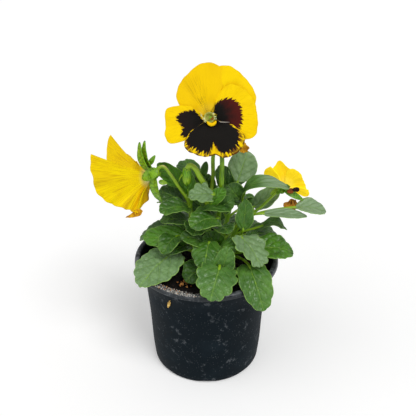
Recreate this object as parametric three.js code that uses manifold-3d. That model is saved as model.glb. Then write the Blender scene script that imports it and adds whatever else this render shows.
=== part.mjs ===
// A pansy in a round black nursery pot, in millimetres, +Z up, with its front towards -Y.
// The origin is the middle of the flat underside of the pot.
import * as THREE from 'three';
import { mergeVertices } from 'three/addons/utils/BufferGeometryUtils.js';
import Module from 'manifold-3d';

const wasm = await Module();
wasm.setup();

// ---------------------------------------------------------------- driving dimensions

const CLEARANCE = 0.3;

const POT_HEIGHT = 100;
const LIP_RADIUS = 60;
const LIP_DEPTH = 4.6;
const MOUTH_RADIUS = 55;
const FOOT_RADIUS = 45;
const WALL = 1.3;
const FLOOR = 1.6;
const POT_SIDES = 32;
const NOTCHES = 8;
const NOTCH_WIDTH = 17;
const NOTCH_HEIGHT = 2.2;
const NOTCH_INNER_RADIUS = 34;

const SOIL_LEVEL = 91;
const SOIL_CROWN = 3;
const SOIL_CRUMB = 1.1;
const SOIL_RINGS = 5;
const STEM_DEPTH = 15;

const TOOTH_PITCH = 7.5;
const LEAF_THICKNESS = 0.8;
const PETIOLE_RADIUS = 1.15;
const PETIOLE_SLOPE = 0.55;
const LOWEST_LEAF = SOIL_LEVEL + 8;
const PETAL_THICKNESS = 0.8;

const COLLAR_INNER = 2.1;
const COLLAR_OUTER = 3.9;
const COLLAR_DEPTH = 4.5;
const COLLAR_MIDDLE = 3;
const PETAL_SEAT = 3.2;
const CLAW_SPREAD = 38;
const CUP_DEPTH = 4;
const CUP_RADIUS = 2.9;
const STYLE_RADIUS = 1.1;
const STIGMA_RADIUS = 1.5;
const SEPAL_WIDTH = 4.5;
const BUD_LENGTH = 16.2;
const BUD_TOP = [-15, -8, 184.5];

const SEED = 29;

// ---------------------------------------------------------------- finishes

const FINISHES = {
  pot: { color: 0x15191c, roughness: 0.55, metalness: 0 },
  soil: { color: 0x1d1813, roughness: 0.95, metalness: 0 },
  leaf: { color: 0x3f6b2c, roughness: 0.6, metalness: 0 },
  petal: { color: 0xf5cc08, roughness: 0.6, metalness: 0 },
  withered: { color: 0x9a5f1e, roughness: 0.85, metalness: 0 },
};

// ---------------------------------------------------------------- small helpers

const vec = (p) => new THREE.Vector3(...p);
const UP = vec([0, 0, 1]);

// A repeatable stream of numbers between 0 and 1.
function seededRandom(seed) {
  let state = seed;
  return () => {
    state = (state * 1664525 + 1013904223) % 4294967296;
    return state / 4294967296;
  };
}

// Smooth hills and hollows over the plane, between -1 and 1.
function crumb(x, y) {
  const broad = Math.sin(x * 0.31 + 1.7) * Math.cos(y * 0.27 - 0.6);
  const fine = Math.sin(x * 0.83 - y * 0.61) * Math.cos(x * 0.47 + y * 0.92 + 2.1);
  return 0.5 * broad + 0.5 * fine;
}

// Reads a list of values as one smooth line; at runs from 0 at the first to 1 at the last.
function along(values, at) {
  const place = Math.min(Math.max(at, 0), 1) * (values.length - 1);
  const i = Math.min(Math.floor(place), values.length - 2);
  const f = place - i;
  const pick = (k) => values[Math.min(Math.max(k, 0), values.length - 1)];
  const [a, b, c, d] = [pick(i - 1), pick(i), pick(i + 1), pick(i + 2)];
  const bend = 2 * a - 5 * b + 4 * c - d;
  const twist = 3 * (b - c) + d - a;
  return b + 0.5 * f * (c - a + f * (bend + f * twist));
}

// ---------------------------------------------------------------- solids

function solidFromGeometry(geometry) {
  const bare = geometry.clone();
  bare.deleteAttribute('normal');
  bare.deleteAttribute('uv');
  const merged = mergeVertices(bare, 1e-4);
  const mesh = new wasm.Mesh({
    numProp: 3,
    vertProperties: new Float32Array(merged.attributes.position.array),
    triVerts: new Uint32Array(merged.index.array),
  });
  return new wasm.Manifold(mesh);
}

function solidFromFaces(points, faces) {
  const geometry = new THREE.BufferGeometry();
  geometry.setAttribute('position', new THREE.Float32BufferAttribute(points.flatMap((p) => p.toArray()), 3));
  geometry.setIndex(faces.flat());
  return solidFromGeometry(geometry);
}

function fuse(solids) {
  return solids.reduce((whole, piece) => whole.add(piece));
}

function geometryFromSolid(solid) {
  const mesh = solid.getMesh();
  const geometry = new THREE.BufferGeometry();
  geometry.setAttribute('position', new THREE.BufferAttribute(new Float32Array(mesh.vertProperties), 3));
  geometry.setIndex(new THREE.BufferAttribute(new Uint32Array(mesh.triVerts), 1));
  geometry.computeVertexNormals();
  return geometry;
}

// A round rod of the given radius along a curve.
function rod(curve, radius, steps, sides = 5) {
  const section = new THREE.Shape();
  for (let i = 0; i < sides; i += 1) {
    const a = (2 * Math.PI * i) / sides;
    const place = [radius * Math.cos(a), radius * Math.sin(a)];
    if (i === 0) section.moveTo(...place);
    else section.lineTo(...place);
  }
  section.closePath();
  const options = { steps, bevelEnabled: false, extrudePath: curve };
  return solidFromGeometry(new THREE.ExtrudeGeometry(section, options));
}

function revolve(profile, sides) {
  const points = profile.map(([r, z]) => new THREE.Vector2(r, z));
  const geometry = new THREE.LatheGeometry(points, sides);
  geometry.rotateX(Math.PI / 2);
  return geometry;
}

function ball(centre, radius) {
  const geometry = new THREE.SphereGeometry(radius, 6, 4);
  geometry.translate(...centre);
  return solidFromGeometry(geometry);
}

function upright(x, y, bottom, top, radius, sides) {
  const geometry = new THREE.CylinderGeometry(radius, radius, top - bottom, sides);
  geometry.rotateX(Math.PI / 2);
  geometry.translate(x, y, (bottom + top) / 2);
  return solidFromGeometry(geometry);
}

// ---------------------------------------------------------------- pot and soil

// The outside of the wall from the foot to under the lip, as radius and height.
const WALL_LINE = [
  [FOOT_RADIUS, 2.4], [46.4, 18], [47.7, 44], [50, 68], [51.6, 80], [53.6, 87],
  [56.3, POT_HEIGHT - LIP_DEPTH],
];

function potSolid() {
  const outside = [[0, 0], [FOOT_RADIUS - 3, 0], [FOOT_RADIUS - 0.8, 0.8], ...WALL_LINE];
  const lip = [
    [LIP_RADIUS - 0.8, POT_HEIGHT - LIP_DEPTH - 0.4], [LIP_RADIUS, POT_HEIGHT - LIP_DEPTH + 0.6],
    [LIP_RADIUS - 0.2, POT_HEIGHT - 1.4], [LIP_RADIUS - 1.6, POT_HEIGHT], [MOUTH_RADIUS + 1.4, POT_HEIGHT],
    [MOUTH_RADIUS + 0.2, POT_HEIGHT - 1],
  ];
  const inside = WALL_LINE.slice(1, -1).reverse().map(([r, z]) => [r - WALL, z]);
  const bottom = [[FOOT_RADIUS - 2.6, FLOOR], [0, FLOOR]];
  const shell = solidFromGeometry(revolve([...outside, ...lip, ...inside, ...bottom], POT_SIDES));
  return shell.subtract(fuse(footCuts()));
}

// Arched notches under the foot, deeper than the floor, through which the pot drains.
function footCuts() {
  const half = NOTCH_WIDTH / 2;
  const arch = new THREE.Shape();
  arch.moveTo(-half, -1);
  arch.lineTo(half, -1);
  arch.lineTo(half, 0);
  arch.quadraticCurveTo(half * 0.7, NOTCH_HEIGHT, 0, NOTCH_HEIGHT);
  arch.quadraticCurveTo(-half * 0.7, NOTCH_HEIGHT, -half, 0);
  arch.closePath();
  const length = FOOT_RADIUS + 4 - NOTCH_INNER_RADIUS;
  const cuts = [];
  for (let i = 0; i < NOTCHES; i += 1) {
    const turn = (2 * Math.PI * i) / NOTCHES;
    const notch = new THREE.ExtrudeGeometry(arch, { depth: length, bevelEnabled: false, curveSegments: 2 });
    notch.rotateX(Math.PI / 2);
    notch.translate(0, -NOTCH_INNER_RADIUS, 0);
    notch.rotateZ(turn);
    cuts.push(solidFromGeometry(notch));
  }
  return cuts;
}

function soilSolid(stems) {
  const gap = WALL + CLEARANCE;
  const side = WALL_LINE.slice(1).filter(([, z]) => z < SOIL_LEVEL).map(([r, z]) => [r - gap, z]);
  const rim = side[side.length - 1][0] + 0.7;
  const top = [];
  for (let i = 0; i <= SOIL_RINGS; i += 1) {
    const share = 1 - i / SOIL_RINGS;
    top.push([rim * share, SOIL_LEVEL + SOIL_CROWN * (1 - share * share)]);
  }
  const foot = [[0, FLOOR + CLEARANCE], [FOOT_RADIUS - 3.2, FLOOR + CLEARANCE]];
  const geometry = revolve([...foot, ...side, ...top], POT_SIDES);
  const place = geometry.attributes.position;
  for (let i = 0; i < place.count; i += 1) {
    if (place.getZ(i) >= SOIL_LEVEL) {
      place.setZ(i, place.getZ(i) + SOIL_CRUMB * crumb(place.getX(i), place.getY(i)));
    }
  }
  const sides = 8;
  const bores = stems.map(({ foot: [x, y], radius }) => {
    const bore = (radius + CLEARANCE) / Math.cos(Math.PI / sides);
    return upright(x, y, SOIL_LEVEL - STEM_DEPTH - CLEARANCE, SOIL_LEVEL + 20, bore, sides);
  });
  return solidFromGeometry(geometry).subtract(fuse(bores));
}

// ---------------------------------------------------------------- leaves

// Half of a leaf's outline: how far along its midrib and how far out a point of the edge lies.
function leafEdge(u, { belly, heart, wedge, teeth, depth }) {
  const a = Math.PI * u;
  const end = Math.sin(a);
  const wave = teeth ? Math.abs(Math.sin(Math.PI * (teeth + 0.5) * u)) - 0.65 : 0;
  const grow = 1 + depth * wave * Math.sqrt(Math.max(end, 0));
  const reach = (1 - Math.cos(a)) / 2 - 2 * heart * end * (1 - u) ** 3;
  const narrow = wedge > 0 ? Math.min(1, u / wedge) ** 0.8 : 1;
  return { reach: 0.5 + (reach - 0.5) * grow, out: end * (1 + belly * Math.cos(a)) * narrow * grow };
}

// A leaf blade as a surface: u runs along the edge from the joint to the tip, t from -1 to 1 across.
class Blade {
  constructor(leaf) {
    this.shape = { belly: 0.15, heart: 0, wedge: 0, depth: 0.09, ...leaf };
    this.shape.teeth ??= Math.max(2, Math.round(leaf.width / TOOTH_PITCH));
    const { joint, tip, width, face = [0, 0, 1], arch = 3, cup = 2, ruffle = 0 } = leaf;
    this.joint = vec(joint);
    this.tip = vec(tip);
    this.run = this.tip.clone().sub(this.joint).normalize();
    const look = vec(face);
    this.normal = look.sub(this.run.clone().multiplyScalar(look.dot(this.run))).normalize();
    this.side = this.run.clone().cross(this.normal);
    this.bend = this.joint.clone().add(this.tip).multiplyScalar(0.5).addScaledVector(this.normal, 2 * arch);
    Object.assign(this, { width, cup, ruffle });
  }

  rib(x) {
    const k = 1 - x;
    return this.joint.clone().multiplyScalar(k * k).addScaledVector(this.bend, 2 * x * k)
      .addScaledVector(this.tip, x * x);
  }

  heading(x) {
    return this.bend.clone().sub(this.joint).multiplyScalar(1 - x)
      .addScaledVector(this.tip.clone().sub(this.bend), x).normalize();
  }

  at(u, t) {
    const { reach, out } = leafEdge(u, this.shape);
    const a = Math.abs(t);
    const x = u + (reach - u) * a;
    const normal = this.side.clone().cross(this.heading(x));
    const wave = Math.sin(5 * Math.PI * u + (t > 0 ? 1.3 : 0));
    const lift = this.cup * (out * a) ** 2 + this.ruffle * a * a * wave;
    const point = this.rib(x).addScaledVector(this.side, (out * this.width * t) / 2);
    return { point: point.addScaledVector(normal, lift), normal };
  }
}

// A thin closed blade with one step at each notch and each crest of its edge.
function bladeSolid(blade, thickness = LEAF_THICKNESS) {
  const columns = Math.max(2 * blade.shape.teeth + 1, 5);
  const points = [];
  const faces = [];
  const place = (u, t) => {
    const { point, normal } = blade.at(u, t);
    points.push(point.clone().addScaledVector(normal, thickness / 2));
    points.push(point.clone().addScaledVector(normal, -thickness / 2));
    return points.length - 2;
  };
  const rib = [];
  for (let i = 0; i <= columns; i += 1) rib.push(place(i / columns, 0));
  for (const hand of [1, -1]) {
    const edge = rib.map((end, i) => (i === 0 || i === columns ? end : place(i / columns, hand)));
    const add = (a, b, c) => {
      if (a === b || b === c || a === c) return;
      faces.push(hand > 0 ? [a, b, c] : [a, c, b]);
      faces.push(hand > 0 ? [a + 1, c + 1, b + 1] : [a + 1, b + 1, c + 1]);
    };
    for (let i = 0; i < columns; i += 1) {
      add(rib[i], edge[i], edge[i + 1]);
      add(rib[i], edge[i + 1], rib[i + 1]);
      const [a, b] = hand > 0 ? [edge[i], edge[i + 1]] : [edge[i + 1], edge[i]];
      faces.push([a, a + 1, b + 1], [a, b + 1, b]);
    }
  }
  return solidFromFaces(points, faces);
}

// The stalk from a stem to a leaf's joint, running on a little under the blade.
function petioleSolid(stem, blade, radius) {
  const away = Math.hypot(blade.joint.x - stem.foot[0], blade.joint.y - stem.foot[1]);
  const start = stem.at(Math.max(LOWEST_LEAF, blade.joint.z - PETIOLE_SLOPE * away));
  const run = start.distanceTo(blade.joint);
  const heading = blade.heading(0);
  const curve = new THREE.CubicBezierCurve3(
    start,
    start.clone().addScaledVector(UP, run * 0.3),
    blade.joint.clone().addScaledVector(heading, -run * 0.35),
    blade.joint.clone().addScaledVector(heading, 1.2),
  );
  return rod(curve, radius, 3, 3);
}

// ---------------------------------------------------------------- stems

class Stem {
  constructor({ name, foot, radius, path, leaves = [] }) {
    const [x, y] = foot;
    const start = [[x, y, SOIL_LEVEL - STEM_DEPTH], [x, y, SOIL_LEVEL - 4], [x, y, SOIL_LEVEL + 6]];
    Object.assign(this, { name, foot, radius, leaves });
    this.curve = new THREE.CatmullRomCurve3([...start, ...path].map(vec), false, 'centripetal');
    this.steps = path.length + 2;
  }

  // The point of the stem's middle line at a height, or its end.
  at(height) {
    const marks = this.curve.getPoints(60);
    return marks.find((p) => p.z >= height) ?? marks[marks.length - 1];
  }

  solid(extra = []) {
    const pieces = [rod(this.curve, this.radius, this.steps)];
    for (const leaf of this.leaves) {
      const blade = new Blade(leaf);
      pieces.push(bladeSolid(blade));
      pieces.push(petioleSolid(this, blade, leaf.stalk ?? PETIOLE_RADIUS));
    }
    return fuse([...pieces, ...extra]);
  }
}

// ---------------------------------------------------------------- blooms

// A flower's own axes: look is the way it faces, up and side lie across it.
class Bloom {
  constructor({ centre, look, petals, sepals }) {
    this.centre = vec(centre);
    this.look = vec(look).normalize();
    this.side = UP.clone().cross(this.look).normalize();
    this.up = this.look.clone().cross(this.side);
    Object.assign(this, { petals, sepals });
  }

  // Where the flower's stalk ends, at the back of its receptacle.
  seat() {
    return this.point(0, 0, -COLLAR_DEPTH - CUP_DEPTH).toArray();
  }

  point(side, up, look) {
    return this.centre.clone().addScaledVector(this.side, side).addScaledVector(this.up, up)
      .addScaledVector(this.look, look);
  }

  direction(turn, splay) {
    const a = THREE.MathUtils.degToRad(turn);
    const b = THREE.MathUtils.degToRad(splay);
    return this.look.clone().multiplyScalar(Math.cos(b))
      .addScaledVector(this.side, Math.sin(b) * Math.cos(a))
      .addScaledVector(this.up, Math.sin(b) * Math.sin(a));
  }

  // A petal is a fan of radii from first to last degree round the bloom's axis.
  petalSolid({ first, last, radii, splay = 90, base = [0, 0], layer = 0, bow = 1, wave = 0.6 }) {
    const columns = Math.max(7, radii.length - 1);
    const rows = [0, 0.5, 1];
    const foot = COLLAR_MIDDLE / Math.sin(THREE.MathUtils.degToRad(splay));
    const claw = THREE.MathUtils.degToRad(CLAW_SPREAD);
    const middle = (first + last) / 2;
    const half = THREE.MathUtils.degToRad((last - first) / 2);
    const out = this.direction(middle, splay);
    const across = this.direction(middle + 90, 90);
    const normal = out.clone().cross(across);
    const sink = foot * Math.cos(THREE.MathUtils.degToRad(splay));
    const origin = this.point(...base, -PETAL_SEAT - sink);
    const points = [];
    for (const row of rows) {
      for (let i = 0; i <= columns; i += 1) {
        const share = i / columns;
        const turn = Math.min(half, claw + row * half) * (2 * share - 1);
        const reach = foot + row * (along(radii, share) - foot);
        const ripple = wave * row * row * Math.sin(6.5 * turn + first);
        const lift = (PETAL_SEAT + layer) * Math.min(1, 2 * row) + bow * row * (1 - row) * 4 + ripple;
        const spot = origin.clone().addScaledVector(out, reach * Math.cos(turn))
          .addScaledVector(across, reach * Math.sin(turn)).addScaledVector(normal, lift);
        points.push(spot.clone().addScaledVector(normal, PETAL_THICKNESS / 2));
        points.push(spot.clone().addScaledVector(normal, -PETAL_THICKNESS / 2));
      }
    }
    return solidFromFaces(points, sheetFaces(rows.length, columns + 1));
  }

  // The short tube that the petals' feet share.
  collarSolid() {
    const ring = [
      [COLLAR_INNER, 0], [COLLAR_OUTER, 0], [COLLAR_OUTER, COLLAR_DEPTH], [COLLAR_INNER, COLLAR_DEPTH],
      [COLLAR_INNER, 0],
    ];
    const geometry = revolve(ring, 8);
    const turn = new THREE.Matrix4().makeBasis(this.side, this.up, this.look);
    geometry.applyMatrix4(turn);
    geometry.translate(...this.point(0, 0, -COLLAR_DEPTH - 1));
    return solidFromGeometry(geometry);
  }

  petalsSolid() {
    return fuse([this.collarSolid(), ...this.petals.map((petal) => this.petalSolid(petal))]);
  }

  // Receptacle, sepals and style: the green parts, which pass through the petals' collar.
  greenSolids() {
    const back = -COLLAR_DEPTH - 1 - CLEARANCE;
    const line = [[0, -CUP_DEPTH], [2, -CUP_DEPTH + 0.6], [CUP_RADIUS, -1.2], [CUP_RADIUS - 0.3, 0], [0, 0]];
    const cup = revolve(line, 6);
    const turn = new THREE.Matrix4().makeBasis(this.side, this.up, this.look);
    cup.applyMatrix4(turn);
    cup.translate(...this.point(0, 0, back));
    const style = new THREE.LineCurve3(this.point(0, 0, back - 2), this.centre);
    const pieces = [solidFromGeometry(cup), rod(style, STYLE_RADIUS, 1), ball(this.centre, STIGMA_RADIUS)];
    for (const sepal of this.sepals) pieces.push(this.sepalSolid(sepal, back));
    return pieces;
  }

  sepalSolid({ turn, splay, length, width = SEPAL_WIDTH, arch = 2 }, back) {
    const out = this.direction(turn, splay);
    const joint = this.point(0, 0, back - 2).addScaledVector(this.direction(turn, 90), 1.2);
    const tip = joint.clone().addScaledVector(out, length);
    const face = this.direction(turn, splay - 90);
    const leaf = { joint: joint.toArray(), tip: tip.toArray(), width, face: face.toArray(), arch };
    return bladeSolid(new Blade({ ...leaf, cup: 0.6, teeth: 0, belly: 0.35 }));
  }
}

// The faces of a thin closed sheet whose points come in rows, each point as its upper and lower one.
function sheetFaces(rows, columns) {
  const faces = [];
  const id = (row, column) => 2 * (row * columns + column);
  for (let r = 0; r + 1 < rows; r += 1) {
    for (let k = 0; k + 1 < columns; k += 1) {
      const [a, b, c, d] = [id(r, k), id(r, k + 1), id(r + 1, k + 1), id(r + 1, k)];
      faces.push([a, d, c], [a, c, b], [a + 1, c + 1, d + 1], [a + 1, b + 1, c + 1]);
    }
  }
  const wall = (a, b) => faces.push([a, b, b + 1], [a, b + 1, a + 1]);
  for (let k = 0; k + 1 < columns; k += 1) {
    wall(id(0, k), id(0, k + 1));
    wall(id(rows - 1, k + 1), id(rows - 1, k));
  }
  for (let r = 0; r + 1 < rows; r += 1) {
    wall(id(r + 1, 0), id(r, 0));
    wall(id(r, columns - 1), id(r + 1, columns - 1));
  }
  return faces;
}

// ---------------------------------------------------------------- the plant

// The direction from which the plant is best seen: the front, from a little above.
const FRONT = [0, -0.87, 0.48];

// Leaves that grow behind the plant: tiers of evenly turned leaves, each a little different.
function backLeaves({ random, axis, turns, height, reach, length, width, droop }) {
  return turns.map((turn) => {
    const a = THREE.MathUtils.degToRad(turn + 8 * (random() - 0.5));
    const out = [Math.cos(a), Math.sin(a)];
    const z = height + 5 * (random() - 0.5);
    const tipReach = reach + length * Math.cos(droop) * (0.92 + 0.16 * random());
    return {
      joint: [axis[0] + out[0] * reach, axis[1] + out[1] * reach, z],
      tip: [axis[0] + out[0] * tipReach, axis[1] + out[1] * tipReach, z - length * Math.sin(droop)],
      width: width * (0.92 + 0.16 * random()),
      face: [0.25 * out[0], 0.25 * out[1], 1],
      arch: 3.5,
      belly: 0.1,
    };
  });
}

const random = seededRandom(SEED);

const LEFT_STEM = {
  name: 'stem_left',
  foot: [-9, -5],
  radius: 2,
  path: [[-10, -5, 112], [-12, -2, 132], [-13, 1, 150], [-14, 2, 157]],
  leaves: [
    { joint: [-24, -9, 110], tip: [-52, -43, 98], width: 36, face: [-0.1, -0.2, 1], arch: 4, cup: 0 },
    { joint: [-13, -7, 120], tip: [-52, -9, 123], width: 19, face: [0, -0.9, 1], belly: 0 },
    { joint: [-24, -10, 124], tip: [-34, -28, 119], width: 19, heart: 0.1 },
    { joint: [-13, -9, 114], tip: [-29, -23, 116], width: 16, face: [0, -0.2, 1] },
    { joint: [-13, -6, 148], tip: [-36, -18, 151], width: 19, face: [0, -0.2, 1], belly: 0 },
    { joint: [-18, 2, 148], tip: [-39, 4, 157], width: 24, face: [0, -0.5, 1] },
    { joint: [-15, -3, 133], tip: [-37, -6, 136], width: 17, face: [0, -0.2, 1] },
    { joint: [-18, 4, 164], tip: [-38, 4, 182], width: 15, face: [0, -1, 0.3], arch: 2 },
  ],
};

const FRONT_STEM = {
  name: 'stem_front',
  foot: [2, -15],
  radius: 1.9,
  path: [[2, -19, 108], [3, -22, 122]],
  leaves: [
    { joint: [-1, -24, 105], tip: [-16, -38, 99], width: 22, face: [0, -0.3, 1] },
    { joint: [2, -26, 128], tip: [-2, -44, 115], width: 23, face: [0, -0.5, 1], heart: 0.25, cup: -2 },
    { joint: [10, -44, 116], tip: [3, -66, 102], width: 30, face: [0, -1, 1], heart: 0.3, arch: 4 },
    { joint: [12, -38, 109], tip: [17, -34, 129], width: 16, face: FRONT },
    { joint: [-3, -21, 125], tip: [-20, -25, 133], width: 17, face: [0, -0.5, 1] },
    { joint: [10, -24, 122], tip: [22, -34, 124], width: 17, face: [0.2, -0.6, 1] },
    { joint: [7, -24, 104], tip: [24, -38, 99], width: 18, face: [0.2, -0.4, 1] },
  ],
};

const CENTRE_STEM = {
  name: 'stem_centre',
  foot: [3, -3],
  radius: 2.1,
  path: [[2, -4, 120], [1, -3, 145], [0, 2, 158]],
  leaves: [
    { joint: [9, -16, 144], tip: [-12, -32, 146], width: 24, face: [0, -0.3, 1] },
    { joint: [-3, -12, 150], tip: [18, -14, 149], width: 12, arch: 2 },
    { joint: [5, -14, 164], tip: [-14, -20, 165], width: 16, face: [0, -0.6, 1], wedge: 0.3 },
    { joint: [4, -8, 153], tip: [15, -4, 164], width: 9, face: [0, -1, 1] },
    { joint: [1, 8, 149], tip: [1, 14, 168], width: 15, face: FRONT },
    { joint: [-3, 8, 169], tip: [0, 10, 181], width: 6, face: FRONT, teeth: 0, arch: 0 },
    { joint: [-4, -10, 134], tip: [-10, -28, 136], width: 22, face: [-0.1, -0.5, 1] },
    { joint: [10, -10, 132], tip: [17, -27, 137], width: 20, face: [0.2, -0.6, 1] },
    { joint: [10, -6, 148], tip: [21, -8, 158], width: 14, face: [0.3, -0.9, 0.6] },
  ],
};

const FRONT_RIGHT_STEM = {
  name: 'stem_front_right',
  foot: [14, -10],
  radius: 2,
  path: [[19, -12, 106], [25, -13, 118], [28, -12, 127]],
  leaves: [
    { joint: [28, -20, 129], tip: [37, -42, 115], width: 30, face: [0.45, -0.2, 1], heart: 0.2, arch: 2 },
    { joint: [34, -35, 111], tip: [44, -59, 87], width: 25, face: [0.1, -1, 0.8], heart: 0.3, arch: 4 },
    { joint: [38, -16, 115], tip: [70, -16, 112], width: 26, face: [0, -0.3, 1], arch: 5 },
    { joint: [34, -14, 117], tip: [38, -6, 127], width: 11, face: FRONT },
    { joint: [29, -17, 135], tip: [31, -11, 158], width: 14, face: FRONT, arch: 2 },
  ],
};

const RIGHT_STEM = {
  name: 'stem_right',
  foot: [15, 3],
  radius: 2.1,
  path: [[20, 3, 114], [30, 3, 131], [38, 3, 140]],
  leaves: [
    { joint: [45, -12, 146], tip: [95, -4, 144], width: 21, face: [0, -0.1, 1], arch: 4, belly: 0 },
    { joint: [46, 2, 127], tip: [66, 2, 123], width: 16, arch: 4 },
    { joint: [39, 12, 139], tip: [60, 18, 154], width: 15, face: [0.1, -1, 0.6], arch: 2 },
    { joint: [27, 2, 147], tip: [64, -5, 166], width: 13, face: [0, -0.3, 1], arch: 14, wedge: 0.3 },
  ],
};

const BACK_RIGHT_STEM = {
  name: 'stem_back_right',
  foot: [12, 13],
  radius: 2.1,
  path: [[16, 15, 118], [20, 17, 140], [22, 15, 156]],
  leaves: [
    { joint: [25, 8, 164], tip: [33, 18, 186], width: 23, face: FRONT, belly: 0, wedge: 0.2, arch: -1 },
    { joint: [18, 10, 154], tip: [11, 14, 176], width: 14, face: FRONT, belly: -0.1 },
    ...backLeaves({
      random, axis: [8, 10], turns: [8, 40, 76], height: 110, reach: 26, length: 30, width: 28, droop: 0.25,
    }),
    ...backLeaves({
      random, axis: [12, 12], turns: [26, 62, 96], height: 132, reach: 18, length: 28, width: 25, droop: 0.1,
    }),
    ...backLeaves({
      random, axis: [6, 18], turns: [84], height: 120, reach: 6, length: 26, width: 25, droop: 0,
    }),
    ...backLeaves({
      random, axis: [16, 14], turns: [54], height: 154, reach: 12, length: 26, width: 21, droop: -0.4,
    }),
  ],
};

const BACK_LEFT_STEM = {
  name: 'stem_back_left',
  foot: [-7, 11],
  radius: 2.1,
  path: [[-9, 15, 118], [-11, 18, 140], [-12, 18, 152]],
  leaves: [
    ...backLeaves({
      random, axis: [-4, 8], turns: [104, 140, 176], height: 112, reach: 26, length: 30, width: 28,
      droop: 0.2,
    }),
    ...backLeaves({
      random, axis: [-8, 12], turns: [118, 158], height: 132, reach: 18, length: 28, width: 25, droop: 0.1,
    }),
    ...backLeaves({
      random, axis: [-12, 16], turns: [52], height: 142, reach: 8, length: 25, width: 20, droop: -0.2,
    }),
    ...backLeaves({
      random, axis: [-10, 14], turns: [104, 150], height: 152, reach: 12, length: 26, width: 21, droop: -0.4,
    }),
  ],
};

// ---------------------------------------------------------------- flowers

const MAIN_BLOOM = new Bloom({
  centre: [3, -14, 227],
  look: [0, -0.94, 0.34],
  petals: [
    {
      first: 12, last: 96, base: [1, 0.7], layer: -2.4, bow: 1.2,
      radii: [32, 35, 36, 36.5, 37.5, 38, 35, 26],
    },
    {
      first: 66, last: 162, base: [-1, 0], layer: -1, bow: 1.2,
      radii: [30, 37, 39, 38, 35, 33, 30.5, 27, 21],
    },
    { first: -40, last: 80, base: [1.8, 0], layer: 0.2, radii: [25, 33, 33, 32, 32, 31, 29, 26, 15] },
    { first: 150, last: 225, base: [-1.8, -0.7], layer: 0.4, radii: [17, 26, 32, 31, 31, 33, 31, 20] },
    {
      first: 211, last: 345, base: [0, -0.7], layer: 1.7, bow: 0.6, wave: 0.4,
      radii: [16, 25.5, 28.5, 28, 28, 27.5, 26.5, 30, 31, 31.5, 30.5, 27.5, 17],
    },
  ],
  sepals: [90, 18, 306, 234, 162].map((turn) => ({ turn, splay: 100, length: 15 })),
});

const LEFT_BLOOM = new Bloom({
  centre: [-46, -6, 175],
  look: [-0.9, 0.3, -0.33],
  petals: [
    { first: 150, last: 225, splay: 38, radii: [26, 32, 33, 30, 24], layer: 0 },
    { first: 66, last: 102, splay: 54, radii: [40, 41, 43.5, 47], layer: 0.3 },
    { first: 96, last: 146, splay: 50, radii: [26, 31, 31, 27], layer: -0.8 },
    { first: 232, last: 305, splay: 60, radii: [26, 32, 36, 38, 34], layer: 0 },
    { first: -48, last: 43, splay: 55, radii: [34, 40, 44, 46, 47, 49, 51], layer: 1.4 },
  ],
  sepals: [
    { turn: 98, splay: 88, length: 27, arch: 4 }, { turn: 76, splay: 92, length: 27, arch: 4 },
    { turn: 20, splay: 100, length: 12 }, { turn: 280, splay: 98, length: 25, arch: 3, width: 6 },
    { turn: 190, splay: 95, length: 14 },
  ],
});

const RIGHT_BLOOM = new Bloom({
  centre: [63, 8, 162],
  look: [0.417, 0.833, 0.364],
  petals: [
    { first: -25, last: 42, splay: 62, radii: [15, 20, 18, 21, 17], layer: 0 },
    { first: 50, last: 112, splay: 60, radii: [16, 22, 24, 19, 15], layer: 0.4 },
    { first: 118, last: 200, splay: 60, radii: [15, 18, 19, 20, 17], layer: -0.5 },
    { first: 206, last: 282, splay: 60, radii: [17, 21, 22, 19, 12], layer: 0.6 },
  ],
  sepals: [
    { turn: 250, splay: 95, length: 17, width: 5 }, { turn: 330, splay: 100, length: 10 },
    { turn: 60, splay: 100, length: 12 }, { turn: 130, splay: 100, length: 12 },
  ],
});

const MAIN_STALK = {
  name: 'stalk_main',
  foot: [8, 5],
  radius: 1.9,
  path: [
    [9, 6, 120], [11, 2, 150], [12, 0, 171], [12, 3, 190], [9, 7, 207], [5, 7, 219], [3, 2, 224],
    MAIN_BLOOM.seat(),
  ],
};

// Thinner stalks that leave a leafy stem part of the way up it.
const LEFT_STALK = [
  [-13, 0, 142], [-15, -1, 152], [-21, -3, 164], [-28, -5, 177], [-33, -6, 184], [-37, -7, 183],
  LEFT_BLOOM.seat(),
];
const RIGHT_STALK = [
  [32, 3, 133], [37, 4, 137], [43.6, 5, 142], [50.6, 6, 149], [56.7, 6, 156], RIGHT_BLOOM.seat(),
];
const BUD_STALK = [
  [1, -4, 140], [0.5, -6, 163], [-5, -7.5, 176], [-9, -8, 184], [-12.5, -8, 186], [-15, -8, 183],
];
const SPENT_STALK = [
  [1, -2, 148], [4, 6, 158], [5.3, 11, 168], [5.3, 12, 184], [8, 13, 202], [16, 12, 209], [24, 8, 204],
  [27, 6, 200],
];

function stalkSolid(path, radius) {
  return rod(new THREE.CatmullRomCurve3(path.map(vec), false, 'centripetal'), radius, path.length + 3);
}

// The point a little beyond the end of a stalk, where dry petals hang from it.
function beyond(path, gap) {
  const [before, end] = path.slice(-2).map(vec);
  return end.clone().add(end.clone().sub(before).setLength(gap)).toArray();
}

// A nodding bud wrapped in its sepals, with one sepal's ear standing off it.
function budSolids() {
  const line = [[0, 0], [2.2, 0.8], [3.6, 4], [3.8, 8], [2.8, 12.5], [1.2, 15.5], [0, BUD_LENGTH]];
  const bud = revolve(line, 8);
  bud.rotateX(Math.PI);
  bud.translate(...BUD_TOP);
  const ear = new Blade({
    joint: [-15, -8, 181], tip: [-21, -9, 173], width: 4, face: [-1, 0, 1], teeth: 0, arch: 1, cup: 0.3,
  });
  return [solidFromGeometry(bud), stalkSolid(BUD_STALK, 1.5), bladeSolid(ear)];
}

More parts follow.
